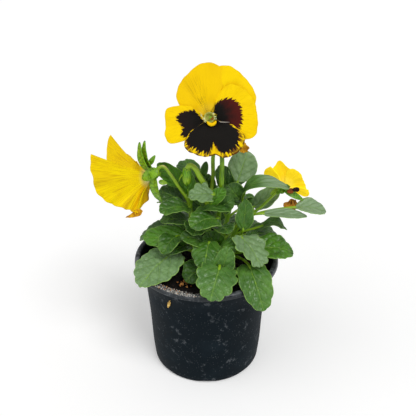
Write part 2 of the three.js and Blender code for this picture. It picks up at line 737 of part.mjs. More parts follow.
// Dry petals crumpled together: a few short waved blades from one point.
function crumpledSolid(top, blades) {
  return fuse(blades.map(({ to, width, face }) => {
    const tip = top.map((v, i) => v + to[i]);
    const crease = { teeth: 2, depth: 0.25, arch: 1, cup: 1, ruffle: 0.8, belly: -0.3 };
    return bladeSolid(new Blade({ joint: top, tip, width, face, ...crease }));
  }));
}

const SPENT_TOP = beyond(SPENT_STALK, CLEARANCE + LEAF_THICKNESS / 2);
const SPENT_PETALS = [
  { to: [3, -1, -8], width: 7, face: [0, -1, 0.2] },
  { to: [-2, 2, -7], width: 6, face: [-1, 0.6, 0] },
];
const WITHERED_TOP = [69, 1.5, 150.4];
const WITHERED_PETALS = [
  { to: [-3, -1, -8], width: 9, face: [0, -1, 0.2] },
  { to: [1, 1, -7], width: 7, face: [0.9, -0.4, 0] },
];

// ---------------------------------------------------------------- assembly

const plant = new THREE.Group();

function addPiece(name, solid, finish) {
  const mesh = new THREE.Mesh(geometryFromSolid(solid), new THREE.MeshStandardMaterial(FINISHES[finish]));
  mesh.name = name;
  plant.add(mesh);
}

const STEMS = [
  LEFT_STEM, FRONT_STEM, CENTRE_STEM, FRONT_RIGHT_STEM, RIGHT_STEM, BACK_RIGHT_STEM, BACK_LEFT_STEM,
  MAIN_STALK,
];
const growths = {
  stem_left: [stalkSolid(LEFT_STALK, 1.3), ...LEFT_BLOOM.greenSolids()],
  stem_centre: [...budSolids(), stalkSolid(SPENT_STALK, 1.3)],
  stem_right: [stalkSolid(RIGHT_STALK, 1.4), ...RIGHT_BLOOM.greenSolids()],
  stalk_main: MAIN_BLOOM.greenSolids(),
};

addPiece('pot', potSolid(), 'pot');
addPiece('soil', soilSolid(STEMS), 'soil');
for (const stem of STEMS) addPiece(stem.name, new Stem(stem).solid(growths[stem.name]), 'leaf');
addPiece('bloom_main', MAIN_BLOOM.petalsSolid(), 'petal');
addPiece('bloom_left', LEFT_BLOOM.petalsSolid(), 'petal');
addPiece('bloom_right', RIGHT_BLOOM.petalsSolid(), 'petal');
addPiece('spent_petals', crumpledSolid(SPENT_TOP, SPENT_PETALS), 'withered');
addPiece('withered_petal', crumpledSolid(WITHERED_TOP, WITHERED_PETALS), 'withered');

export default plant;
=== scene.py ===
"""A yellow pansy in its round black nursery pot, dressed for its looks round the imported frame.

Lengths and places are in millimetres, as on the plant, and a mesh is brought to metres when it is made.
The origin is the middle of the pot's foot, +Z is up, and the main flower looks towards -Y.
"""

import logging
import math
import random
from contextlib import contextmanager
from dataclasses import dataclass, field, replace
from enum import Enum
from typing import Any, Callable, Iterator, Sequence

import bmesh
import bpy
import numpy as np
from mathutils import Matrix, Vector, noise


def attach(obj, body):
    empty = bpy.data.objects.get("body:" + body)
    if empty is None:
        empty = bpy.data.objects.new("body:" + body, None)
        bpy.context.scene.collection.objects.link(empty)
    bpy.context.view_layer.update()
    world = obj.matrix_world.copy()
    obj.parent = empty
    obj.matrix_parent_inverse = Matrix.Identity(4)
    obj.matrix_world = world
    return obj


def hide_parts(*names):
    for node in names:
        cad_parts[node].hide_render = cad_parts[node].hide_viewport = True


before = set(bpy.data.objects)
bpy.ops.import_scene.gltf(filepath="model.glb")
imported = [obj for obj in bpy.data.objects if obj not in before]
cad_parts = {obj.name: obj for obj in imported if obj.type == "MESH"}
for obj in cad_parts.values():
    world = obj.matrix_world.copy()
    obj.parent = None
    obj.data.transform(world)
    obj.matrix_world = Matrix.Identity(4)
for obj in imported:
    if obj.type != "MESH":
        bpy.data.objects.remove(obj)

LOG = logging.getLogger("pansy")
BODY = "root"
MM = 0.001

Piece = bpy.types.Object
Array = np.ndarray
Point = tuple[float, float, float]
Colour = tuple[float, float, float]
Profile = Sequence[tuple[float, float]]
Draw = Callable[[], float]

UP = np.array([0.0, 0.0, 1.0])
FRONT: Point = (0.0, -0.87, 0.48)
# SUN is the side from which the stalks' painted highlight is laid.
SUN: Point = (1.4, -0.9, 2.4)
ASLANT: Point = (0.31, 0.87, 0.37)
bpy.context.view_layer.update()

PATTERN = "pattern"
SIDE_VEINS = 3.6
VEIN_SLANT = 0.55
VEIN_BEND = 1.25
VEIN_SHIFT = 0.4
NO_BLOTCH = -30.0
PROFILE_STEPS = 4
WAVES, FRILLS, RIPPLES = 6.5, (15, 27), 31


class Slot(Enum):
    """The record's material slots."""

    POT = "pot"
    SOIL = "soil"
    LEAF = "leaf"
    PETAL = "petal"
    WITHERED = "withered"


# ---------------------------------------------------------------- shader language


def tint(red: int, green: int, blue: int) -> Colour:
    """Turns a screen colour, 0 to 255 a channel, into the linear one that a shader takes."""
    shares = (channel / 255 for channel in (red, green, blue))
    return tuple(((c + 0.055) / 1.055) ** 2.4 if c > 0.04 else c / 12.92 for c in shares)


def by(operation: str) -> Callable[..., "Wire"]:
    """Makes a method of a wire that adds one Math node, with the wire as its first value."""

    def method(self: "Wire", *values: "Wire | float") -> "Wire":
        """Adds the node to the wire's paint."""
        sockets = dict(enumerate((self, *values)))
        return self.paint.node("ShaderNodeMath", {"operation": operation}, sockets)

    return method


class Wire:
    """A number that varies over a surface: one output socket, with Python's arithmetic."""

    def __init__(self, paint: "Paint", socket: bpy.types.NodeSocket) -> None:
        """Wraps a socket of a paint's node tree."""
        self.paint = paint
        self.socket = socket

    __add__ = by("ADD")
    __sub__ = by("SUBTRACT")
    __mul__ = by("MULTIPLY")
    __pow__ = by("POWER")
    __abs__ = by("ABSOLUTE")
    part = by("FRACT")

    def rise(self, low: float, high: float) -> "Wire":
        """A soft step.

        Args:
            low: The value below which the step is 0.
            high: The value above which it is 1; where it is the lower one, the step falls.

        Returns:
            The step, from 0 to 1.
        """
        settings = {"interpolation_type": "SMOOTHSTEP", "clamp": True}
        sockets = {"Value": self, "From Min": min(low, high), "From Max": max(low, high)}
        sockets["To Min"], sockets["To Max"] = (0.0, 1.0) if low <= high else (1.0, 0.0)
        return self.paint.node("ShaderNodeMapRange", settings, sockets)


class Paint:
    """One procedural material while it is mixed."""

    def __init__(self, name: str) -> None:
        """Starts a material with one Principled shader."""
        material = bpy.data.materials.new(name)
        material.use_nodes = True
        self.tree = material.node_tree
        self.shader = self.tree.nodes["Principled BSDF"]

    def node(self, kind: str, settings: dict[str, Any], sockets: dict[Any, Any], output: Any = 0) -> Wire:
        """Adds any node.

        Args:
            kind: The node's type.
            settings: Its own choices, set before its sockets.
            sockets: Values or wires for its inputs, by name or number.
            output: The output that is wanted, by name or number.

        Returns:
            That output.
        """
        made = self.tree.nodes.new(kind)
        for key, value in settings.items():
            setattr(made, key, value)
        for key, value in sockets.items():
            self.plug(made.inputs[key], value)
        return Wire(self, made.outputs[output])

    def plug(self, socket: bpy.types.NodeSocket, value: Any) -> None:
        """Links a wire to a socket, or sets the socket's own value."""
        if isinstance(value, Wire):
            self.tree.links.new(value.socket, socket)
        elif socket.type == "RGBA":
            socket.default_value = (*value[:3], 1.0)
        else:
            socket.default_value = value

    def mix(self, share: "Wire | float", first: "Wire | Colour", second: "Wire | Colour") -> Wire:
        """Blends from a first colour at share 0 to a second at share 1."""
        settings = {"data_type": "RGBA", "blend_type": "MIX", "clamp_factor": True}
        return self.node("ShaderNodeMix", settings, {0: share, 6: first, 7: second}, 2)

    def layers(self, ground: "Wire | Colour", *coats: tuple["Wire | float", "Wire | Colour"]) -> Wire:
        """Lays coats over a ground colour, each with the share that covers it and its colour."""
        for share, colour in coats:
            ground = self.mix(share, ground, colour)
        return ground

    def shade(self, colour: "Wire | Colour", strength: Wire) -> Wire:
        """Darkens or lightens a colour by a varying strength about 1."""
        grey = self.node("ShaderNodeCombineXYZ", {}, {0: strength, 1: strength, 2: strength})
        return self.node("ShaderNodeVectorMath", {"operation": "MULTIPLY"}, {0: colour, 1: grey})

    def tone(self, name: str) -> Wire:
        """A tone that the piece keeps at each of its points."""
        return self.node("ShaderNodeAttribute", {"attribute_name": name}, {}, "Fac")

    def place(self) -> Wire:
        """Where a point is on the object, in metres."""
        return self.node("ShaderNodeTexCoord", {}, {}, "Object")

    def pattern(self) -> tuple[Wire, Wire]:
        """The two coordinates of the piece's own pattern map."""
        flat = self.node("ShaderNodeUVMap", {"uv_map": PATTERN}, {})
        return tuple(self.node("ShaderNodeSeparateXYZ", {}, {0: flat}, axis) for axis in (0, 1))

    def spot(self, x: "Wire | float", y: "Wire | float", z: "Wire | float" = 0.0) -> Wire:
        """A vector of three numbers."""
        return self.node("ShaderNodeCombineXYZ", {}, {0: x, 1: y, 2: z})

    def cloud(self, where: Wire, scale: float, detail: float = 2.0, rough: float = 0.5) -> Wire:
        """Soft noise about a half."""
        sockets = {"Vector": where, "Scale": scale, "Detail": detail, "Roughness": rough}
        return self.node("ShaderNodeTexNoise", {}, sockets, 0)

    def cells(self, where: Wire, scale: float, feature: str = "F1") -> Wire:
        """Distances within a scatter of cells."""
        sockets = {"Vector": where, "Scale": scale}
        return self.node("ShaderNodeTexVoronoi", {"feature": feature}, sockets, 0)

    def relief(self, height: Wire, depth: float, strength: float = 1.0) -> None:
        """Gives the surface a fine relief.

        Args:
            height: The height, about 0 to 1.
            depth: What a height of 1 is, in millimetres.
            strength: How strongly it shows.
        """
        sockets = {"Height": height, "Distance": depth * MM, "Strength": strength}
        self.plug(self.shader.inputs["Normal"], self.node("ShaderNodeBump", {}, sockets))

    def dress(
        self, colour: "Wire | Colour", roughness: "Wire | float", specular: float,
        **sockets: "Wire | Colour | float",
    ) -> None:
        """Sets the shader's own sockets; the rarer ones are named with underscores."""
        sockets |= {"base_color": colour, "roughness": roughness, "specular_ior_level": specular}
        for key, value in sockets.items():
            self.plug(self.shader.inputs[key.replace("_", " ").title().replace("Ior", "IOR")], value)


# ---------------------------------------------------------------- finishes


@dataclass(frozen=True)
class Finish:
    """A finish of the plant or its pot, which becomes one procedural material."""

    name: str

    def material(self) -> bpy.types.Material:
        """Gives the finish's material, which is mixed when it is first asked for."""
        if self.name not in bpy.data.materials:
            self.coat(Paint(self.name))
        return bpy.data.materials[self.name]

    def coat(self, paint: Paint) -> None:
        """Mixes the finish; each kind of finish has its own way."""


@dataclass(frozen=True)
class LeafFinish(Finish):
    """The skin of the leaves, with a midrib, side veins and a pale edge, painted shade in the grooves
    along the side veins, a painted sheen on the paler leaves and a painted glow of light through the
    clearer ones.
    """

    name: str = "pansy_leaf"
    deep: Colour = tint(24, 64, 5)
    mid: Colour = tint(60, 113, 16)
    pale: Colour = tint(98, 150, 44)
    # A pale greyish green for the leaves' painted sheen.
    painted_sheen: Colour = tint(148, 176, 134)
    vein: Colour = tint(132, 176, 72)
    rim: Colour = tint(150, 194, 84)
    # A clear yellow green: the painted glow of light shining through a leaf.
    clear: Colour = tint(84, 146, 14)
    roughness: float = 0.42

    def coat(self, paint: Paint) -> None:
        """Mixes the finish."""
        x, w = paint.pattern()
        out = abs(w)
        edge = paint.tone("edge")
        own = paint.tone("own")
        place = paint.place()
        blotches = paint.cloud(place, 90.0, 3.0)
        wander = paint.cloud(place, 130.0, 2.0) - 0.5
        rib = out.rise(0.07, 0.015) * (x * -0.6 + 1.0)
        phase = (x - (out ** VEIN_BEND) * VEIN_SLANT) * SIDE_VEINS + own * VEIN_SHIFT + wander * 0.35
        ridge = abs(phase.part() - 0.5) * 2.0
        side = ridge.rise(0.86, 0.98) * out.rise(1.0, 0.5) * out.rise(0.0, 0.06)
        fine = paint.cells(paint.spot(x * 13.0, w * 7.0, own * 9.0), 1.0, "DISTANCE_TO_EDGE")
        net = fine.rise(0.09, 0.0)
        body = paint.layers(
            self.deep,
            (own * 1.5, self.mid),
            ((blotches - 0.42) * 2.0, self.pale),
            # Leaves whose tone is above a half get the painted sheen.
            (own.rise(0.5, 1.1) * 0.9, self.painted_sheen),
            # Leaves whose tone is below 0 get the painted glow of light through them, in patches.
            (own.rise(-0.1, -0.6) * blotches.rise(0.2, 0.45), self.clear),
            # The grooves along the side veins darken: painted shade.
            (ridge.rise(0.5, 0.9) * (own * -0.1 + 0.3), self.deep),
            (net * 0.12, self.vein),
            (side * 0.4, self.vein),
            (rib * 0.75, self.vein),
            (edge.rise(0.95, 0.985) * 0.7, self.rim),
        )
        height = ridge ** 2.0 * -0.6 - net * 0.3 - rib * 0.9 + blotches * 1.0
        paint.relief(height, 0.8, 0.85)
        paint.dress(body, blotches * 0.3 + (self.roughness - 0.19), 0.55)


@dataclass(frozen=True)
class StemFinish(Finish):
    """Stems, leaf stalks and sepals: juicy green with faint long streaks, and on some stalks a peach
    painted highlight on the top that faces the sun.
    """

    name: str = "pansy_stem"
    deep: Colour = tint(54, 112, 4)
    mid: Colour = tint(120, 176, 14)
    pale: Colour = tint(178, 210, 44)
    # The peach colour of the stalks' painted highlight.
    lit: Colour = tint(250, 224, 156)
    roughness: float = 0.42

    def coat(self, paint: Paint) -> None:
        """Mixes the finish."""
        across, along = paint.pattern()
        own = paint.tone("own")
        place = paint.place()
        streak = paint.cloud(paint.spot(across * 9.0, along * 0.7, own * 5.0), 2.2, 3.0)
        patch = paint.cloud(place, 55.0, 2.0)
        body = paint.layers(
            self.deep,
            (streak.rise(0.36, 0.64), self.mid),
            (patch.rise(0.5, 0.78) * 0.55, self.pale),
            (own * 0.6, self.pale),
            # The lit tone lays the painted highlight.
            (paint.tone("lit"), self.lit),
        )
        paint.relief(streak, 0.3, 0.5)
        paint.dress(body, self.roughness, 0.5)


@dataclass(frozen=True)
class PetalFinish(Finish):
    """Velvety petals: yellow with painted shade in their folds and, where a petal has one, a fringed dark
    blotch.
    """

    name: str = "pansy_petal"
    bright: Colour = tint(252, 214, 4)
    ochre: Colour = tint(232, 186, 4)
    vein: Colour = tint(196, 146, 8)
    black: Colour = tint(27, 25, 23)
    maroon: Colour = tint(78, 26, 22)
    throat: Colour = tint(206, 214, 130)
    fringe: float = 0.9
    teeth: float = 7.0
    streaks: float = 0.0
    rim: float = 0.0
    blush: float = 0.0
    veins: float = 0.25
    vein_reach: float = 6.0
    vein_spread: float = 9.0
    line_count: float = 21.0
    line_pitch: float = 0.7
    line_low: float = 0.52
    line_ramp: float = 0.14
    # The colour of the painted shade in a petal's folds.
    crease: Colour = tint(232, 186, 4)
    fade: float = 0.0
    fade_reach: float = 1.3
    # glow: the petal's colour also given as emission, so it shines though it is no lamp: painted light.
    glow: float = 0.0

    def coat(self, paint: Paint) -> None:
        """Mixes the finish."""
        turn, reach = paint.pattern()
        blotch = paint.tone("blotch")
        broad = paint.cloud(paint.spot(turn * 1.6, reach * 0.45), 1.4, 2.0)
        rays = paint.spot(turn * self.line_count, reach * self.line_pitch)
        lines = paint.cloud(rays, 1.9, 3.0, 0.6)
        spikes = paint.cloud(paint.spot(turn * 13.0, reach * 0.35, 2.0), 1.5, 2.0, 0.6)
        hair = paint.cloud(paint.spot(turn * 12.0, reach * 0.6, 4.0), 1.5, 2.0, 0.7)
        veined = lines.rise(self.line_low, self.line_low + self.line_ramp) * self.veins
        veined = veined * abs(turn).rise(self.vein_spread, self.vein_spread * 0.2)
        yellow = paint.layers(
            self.bright,
            (broad.rise(0.40, 0.72) * 0.5, self.ochre),
            # The fold tone darkens the folds' valleys: painted shade.
            (paint.tone("fold"), self.crease),
            (veined * reach.rise(self.vein_reach, 0.8), self.vein),
            (reach.rise(self.fade_reach, self.fade_reach * 0.3) * self.fade, self.throat),
        )
        comb = abs((turn * self.teeth + spikes * 2.4 + reach * 0.3).part() - 0.5) * 2.0 - 0.5
        ragged = blotch + (spikes - 0.5) * (self.fringe * 6.0) + comb * (self.fringe * 2.2)
        dark = ragged.rise(-0.15, 0.2) * (paint.tone("front") * 0.5 + 0.5)
        outskirts = blotch.rise(-2.6 * self.streaks - 0.01, 0.0) * min(1.0, self.streaks)
        rim = paint.tone("edge").rise(0.945, 0.972) * hair.rise(0.40, 0.50) * self.rim
        glow = paint.cloud(paint.spot(turn * 3.0, reach * 1.2, 7.0), 1.6, 1.0) * 0.8 + reach
        blot = paint.layers(
            self.black,
            (glow.rise(1.2, 2.3) * self.blush, self.maroon),
            (ragged.rise(1.0, 0.1) * 0.9, self.maroon),
        )
        body = paint.layers(
            yellow,
            (hair.rise(0.47, 0.54) * outskirts * 0.9, self.maroon),
            (rim, self.maroon),
            (dark, blot),
        )
        paint.relief(lines + broad * 0.8 + hair * 0.15, 0.6, 0.45)
        # The emission, at the glow's strength, is painted light.
        paint.dress(body, dark * 0.12 + 0.55, 0.06, emission_color=body, emission_strength=self.glow)


@dataclass(frozen=True)
class PotFinish(Finish):
    """Thin black moulded plastic with pale dust in spots, and a painted sheen in pale patches on top of
    the lip by its inner edge.
    """

    name: str = "nursery_pot_black"
    black: Colour = tint(13, 23, 29)
    dull: Colour = tint(25, 36, 43)
    dust: Colour = tint(126, 130, 134)
    roughness: float = 0.58

    def coat(self, paint: Paint) -> None:
        """Mixes the finish."""
        place = paint.place()
        haze = paint.cloud(place, 38.0, 4.0, 0.6)
        marks = paint.cloud(place, 150.0, 2.0, 0.6)
        specks = paint.cells(place, 520.0)
        fine = paint.cloud(place, 900.0, 2.0, 0.7)
        spots = marks.rise(0.585, 0.71) * haze.rise(0.40, 0.56) * fine.rise(0.25, 0.65)
        grains = specks.rise(0.26, 0.10) * marks.rise(0.40, 0.52)
        body = paint.layers(
            self.black,
            (haze.rise(0.45, 0.75) * 0.6, self.dull),
            (spots * 0.4, self.dust),
            (grains * 0.24, self.dust),
            # The lip tone lays the dust colour in patches on the lip's top by its inner edge: a painted
            # sheen.
            (paint.tone("lip") * marks.rise(0.38, 0.62) * 0.5, self.dust),
        )
        paint.relief(marks + grains * 0.5, 0.25, 0.35)
        rough = haze * 0.2 + spots * 0.3 + (self.roughness - 0.1)
        gloss = paint.tone("rim") * (marks * -0.6 + 1.0)
        paint.dress(body, rough, 0.05, coat_weight=gloss, coat_roughness=0.3)


@dataclass(frozen=True)
class SoilFinish(Finish):
    """Damp dark potting soil with brown fibre."""

    name: str = "potting_soil"
    black: Colour = tint(15, 12, 10)
    brown: Colour = tint(50, 33, 22)
    roughness: float = 0.92

    def coat(self, paint: Paint) -> None:
        """Mixes the finish."""
        place = paint.place()
        crumbs = paint.cloud(place, 420.0, 5.0, 0.7)
        patches = paint.cloud(place, 120.0, 3.0)
        body = paint.mix(crumbs.rise(0.5, 0.75) * patches.rise(0.35, 0.7), self.black, self.brown)
        paint.relief(crumbs, 1.2, 1.0)
        paint.dress(body, self.roughness, 0.3)


@dataclass(frozen=True)
class GrainFinish(Finish):
    """Loose grains, each in its own tone between a first and a second colour."""

    first: Colour
    second: Colour
    roughness: float = 0.85

    def coat(self, paint: Paint) -> None:
        """Mixes the finish."""
        speck = paint.cloud(paint.place(), 900.0, 2.0)
        body = paint.shade(paint.mix(paint.tone("own"), self.first, self.second), speck + 0.5)
        paint.relief(speck, 0.3, 0.6)
        paint.dress(body, self.roughness, 0.3)


@dataclass(frozen=True)
class WitheredFinish(Finish):
    """A dry petal: brown, papery and veined."""

    name: str = "withered_petal_brown"
    dark: Colour = tint(84, 38, 12)
    light: Colour = tint(222, 154, 50)
    roughness: float = 0.8

    def coat(self, paint: Paint) -> None:
        """Mixes the finish."""
        x, w = paint.pattern()
        streak = paint.cloud(paint.spot(x * 1.5, w * 7.0), 2.0, 3.0, 0.6)
        patch = paint.cloud(paint.place(), 260.0, 3.0)
        body = paint.mix((streak + patch - 0.45).rise(0.2, 0.85), self.dark, self.light)
        paint.relief(streak, 0.5, 0.8)
        paint.dress(body, self.roughness, 0.25)


@dataclass(frozen=True)
class FloorFinish(Finish):
    """The studio's pale floor."""

    name: str = "studio_floor"
    white: Colour = (0.93, 0.93, 0.93)
    glow: float = 0.16

    def coat(self, paint: Paint) -> None:
        """Mixes the finish."""
        paint.dress(self.white, 0.9, 0.1, emission_color=(1.0, 1.0, 1.0), emission_strength=self.glow)


# ---------------------------------------------------------------- workbench


def unit(vectors: Array) -> Array:
    """Brings vectors to length 1."""
    return vectors / np.linalg.norm(vectors, axis=-1, keepdims=True)


def along(values: Sequence[float], at: Array) -> Array:
    """Reads a list of values as one smooth line.

    Args:
        values: The values at even steps.
        at: Where to read it, 0 at the first value and 1 at the last.

    Returns:
        The readings.
    """
    marks = np.asarray(values, float)
    place = np.clip(at, 0, 1) * (len(marks) - 1)
    i = np.minimum(np.floor(place).astype(int), len(marks) - 2)
    f = place - i
    a, b, c, d = (marks[np.clip(i + k, 0, len(marks) - 1)] for k in (-1, 0, 1, 2))
    return b + 0.5 * f * (c - a + f * (2 * a - 5 * b + 4 * c - d + f * (3 * (b - c) + d - a)))


def curve_points(marks: Sequence[Point], per_span: int = 10) -> Array:
    """A smooth centripetal curve through some points.

    Args:
        marks: The points.
        per_span: How many steps it has between two of them.

    Returns:
        The curve's points, a row each.
    """
    at = np.array(marks, float)
    at = np.vstack([2 * at[0] - at[1], at, 2 * at[-1] - at[-2]])
    gaps = np.maximum(np.linalg.norm(np.diff(at, axis=0), axis=1) ** 0.5, 1e-4)
    rows = [at[1:2]]
    steps = (np.arange(per_span) + 1)[:, None] / per_span
    for k in range(1, len(at) - 2):
        p, d = at[k - 1: k + 3], gaps[k - 1: k + 2]
        leave = (p[1] - p[0]) / d[0] - (p[2] - p[0]) / (d[0] + d[1]) + (p[2] - p[1]) / d[1]
        arrive = (p[2] - p[1]) / d[1] - (p[3] - p[1]) / (d[1] + d[2]) + (p[3] - p[2]) / d[2]
        leave, arrive = leave * d[1], arrive * d[1]
        bend = -3 * p[1] + 3 * p[2] - 2 * leave - arrive
        twist = 2 * p[1] - 2 * p[2] + leave + arrive
        rows.append(p[1] + leave * steps + bend * steps ** 2 + twist * steps ** 3)
    return np.vstack(rows)


def bezier(a: Array, b: Array, c: Array, d: Array, steps: int) -> Array:
    """A cubic curve from a to d that leaves towards b and arrives from c."""
    x = np.linspace(0, 1, steps + 1)[:, None]
    return a * (1 - x) ** 3 + b * 3 * x * (1 - x) ** 2 + c * 3 * x * x * (1 - x) + d * x ** 3


def fade(values: Array, low: float, high: float) -> Array:
    """Rises evenly from 0 at a low value to 1 at a high one."""
    return np.clip((values - low) / (high - low), 0, 1)


@dataclass
class Skin:
    """Where the points of a flat grid go, with the pattern map and the tones that they carry."""

    points: Array
    pattern: Array
    tones: dict[str, Array] = field(default_factory=dict)


def deselect() -> None:
    """Lets go of everything."""
    bpy.ops.object.select_all(action="DESELECT")


def take(*pieces: Piece) -> None:
    """Selects these pieces alone, the first of them active."""
    deselect()
    for piece in pieces:
        piece.select_set(True)
    bpy.context.view_layer.objects.active = pieces[0]


@contextmanager
def editing(piece: Piece) -> Iterator[None]:
    """Opens a piece in edit mode with all of it selected, and closes it at the end."""
    take(piece)
    bpy.ops.object.mode_set(mode="EDIT")
    bpy.ops.mesh.select_all(action="SELECT")
    yield
    bpy.ops.object.mode_set(mode="OBJECT")


def rows_of(mesh: bpy.types.Mesh, kind: str = "co") -> Array:
    """The places of a mesh's points, or their normals, a row each."""
    flat = np.zeros(len(mesh.vertices) * 3)
    mesh.vertices.foreach_get(kind, flat)
    return flat.reshape(-1, 3)


def mark(mesh: bpy.types.Mesh, tone: str, values: "Array | float") -> None:
    """Keeps a tone at each point of a mesh, for its finish to read."""
    spread = np.broadcast_to(values, len(mesh.vertices)).astype(np.float32)
    mesh.attributes.new(tone, "FLOAT", "POINT").data.foreach_set("value", spread)


def grow(name: str, columns: int, rows: int, place: Callable[[Array, Array], Skin]) -> Piece:
    """Shapes a flat grid into a surface.

    Args:
        name: The piece's name.
        columns: The grid's steps along its first side.
        rows: Its steps along its second side.
        place: Tells for places from 0 to 1 along both sides where they go, in millimetres.

    Returns:
        The piece.
    """
    deselect()
    bpy.ops.mesh.primitive_grid_add(x_subdivisions=columns, y_subdivisions=rows, size=2)
    piece = bpy.context.active_object
    piece.name = piece.data.name = name
    mesh = piece.data
    flat = (rows_of(mesh) + 1) / 2
    skin = place(flat[:, 0], flat[:, 1])
    mesh.vertices.foreach_set("co", (skin.points * MM).ravel())
    corners = np.zeros(len(mesh.loops), int)
    mesh.loops.foreach_get("vertex_index", corners)
    mesh.uv_layers.active.name = PATTERN
    mesh.uv_layers.active.data.foreach_set("uv", skin.pattern[corners].ravel())
    for tone, values in skin.tones.items():
        mark(mesh, tone, values)
    mesh.update()
    bpy.ops.object.shade_smooth()
    return piece


def thicken(piece: Piece, thickness: float) -> Piece:
    """Gives a sheet its thickness, in millimetres, half on each side."""
    take(piece)
    solid = piece.modifiers.new("thickness", "SOLIDIFY")
    solid.thickness = thickness * MM
    solid.offset = 0
    bpy.ops.object.modifier_apply(modifier=solid.name)
    return piece


def seal(piece: Piece) -> Piece:
    """Merges a wrapped surface's seam and poles, and turns its faces outwards."""
    with editing(piece):
        bpy.ops.mesh.remove_doubles(threshold=0.005 * MM)
        bpy.ops.mesh.normals_make_consistent(inside=False)
        if bmesh.from_edit_mesh(piece.data).calc_volume(signed=True) < 0:
            bpy.ops.mesh.flip_normals()
    return piece


def tube(
    name: str, path: Array, radii: Sequence[float], sides: int = 12, own: float = 0, lit: float = 0,
) -> Piece:
    """A round stalk along a path, closed at both ends.

    Args:
        name: The piece's name.
        path: The middle line's points, a row each.
        radii: The radius along it, read as one smooth line from start to end.
        sides: How many sides it has.
        own: The tone that is its own.
        lit: How strongly the top of its upper half, on the side that faces the sun, is tinged peach: a
            painted highlight.

    Returns:
        The piece.
    """
    heading = unit(np.gradient(path, axis=0))
    across = np.cross(heading[0], ASLANT)
    frames = []
    for way in heading:
        across = unit(across - way * across.dot(way))
        frames.append((across, np.cross(way, across)))
    rings = np.arange(len(path) + 2)
    at = np.clip(rings - 1, 0, len(path) - 1)
    width = along(radii, at / (len(path) - 1))
    width[[0, -1]] = 0

    def place(u: Array, v: Array) -> Skin:
        """Places the stalk's points: u along it, v round it."""
        ring = np.rint(u * (len(rings) - 1)).astype(int)
        turn = 2 * math.pi * v
        first, second = (np.array([frames[k][way] for k in at])[ring] for way in (0, 1))
        spread = first * np.cos(turn)[:, None] + second * np.sin(turn)[:, None]
        points = path[at[ring]] + spread * width[ring][:, None]
        lengths = np.cumsum([0, *np.linalg.norm(np.diff(path[at], axis=0), axis=1)])
        # The side that faces the sun, beyond the stalk's first stretch: where the painted highlight goes.
        sunny = np.clip(spread @ SUN * 2.2 - 4.9, 0, 1) * np.clip(ring / len(rings) * 5 - 1.2, 0, 1)
        return Skin(points, np.stack([v, lengths[ring] / 10], 1), {"own": own, "lit": lit * sunny})

    return seal(grow(name, len(rings) - 1, sides, place))


def lathe(name: str, profile: Profile, sides: int, axes: Array, foot: Array) -> Piece:
    """A turned shape.

    Args:
        name: The piece's name.
        profile: Radii and heights, from one end of the axis to the other.
        sides: How many sides it has.
        axes: Its own x, y and z directions, a row each.
        foot: Where the height is 0.

    Returns:
        The piece.
    """
    line = curve_points([(r, h, 0.0) for r, h in profile], PROFILE_STEPS)
    line[:, 0] = np.maximum(line[:, 0], 0)

    def place(u: Array, v: Array) -> Skin:
        """Places the shape's points: u along its profile, v round its axis."""
        ring = np.rint(u * (len(line) - 1)).astype(int)
        turn = 2 * math.pi * v
        local = np.stack([line[ring, 0] * np.cos(turn), line[ring, 0] * np.sin(turn), line[ring, 1]], 1)
        return Skin(local @ axes + foot, np.stack([v, line[ring, 1] / 10], 1))

    return seal(grow(name, len(line) - 1, sides, place))


def join(name: str, pieces: Sequence[Piece]) -> Piece:
    """Makes one piece of several, under a name of its own."""
    take(*pieces)
    if len(pieces) > 1:
        bpy.ops.object.join()
    whole = bpy.context.active_object
    whole.name = whole.data.name = name
    return whole


def hand_over(piece: Piece, finish: Finish, slot: Slot, *nodes: str) -> None:
    """Dresses a finished piece and gives it its place in the frame.

    Args:
        piece: The piece, its mesh in place.
        finish: Its finish.
        slot: The record's material slot that it belongs to; it is not used.
        nodes: The CAD nodes that it stands for.
    """
    piece.data.materials.clear()
    piece.data.materials.append(finish.material())
    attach(piece, BODY)
    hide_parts(*nodes)
    LOG.info("%s: %d faces, %s", piece.name, len(piece.data.polygons), finish.name)


def seeded_random(seed: int) -> Draw:
    """A repeatable stream of numbers between 0 and 1, the same one as in the part's source."""
    state = seed

    def draw() -> float:
        """Gives the next number."""
        nonlocal state
        state = (state * 1664525 + 1013904223) % 4294967296
        return state / 4294967296

    return draw


# ---------------------------------------------------------------- leaves


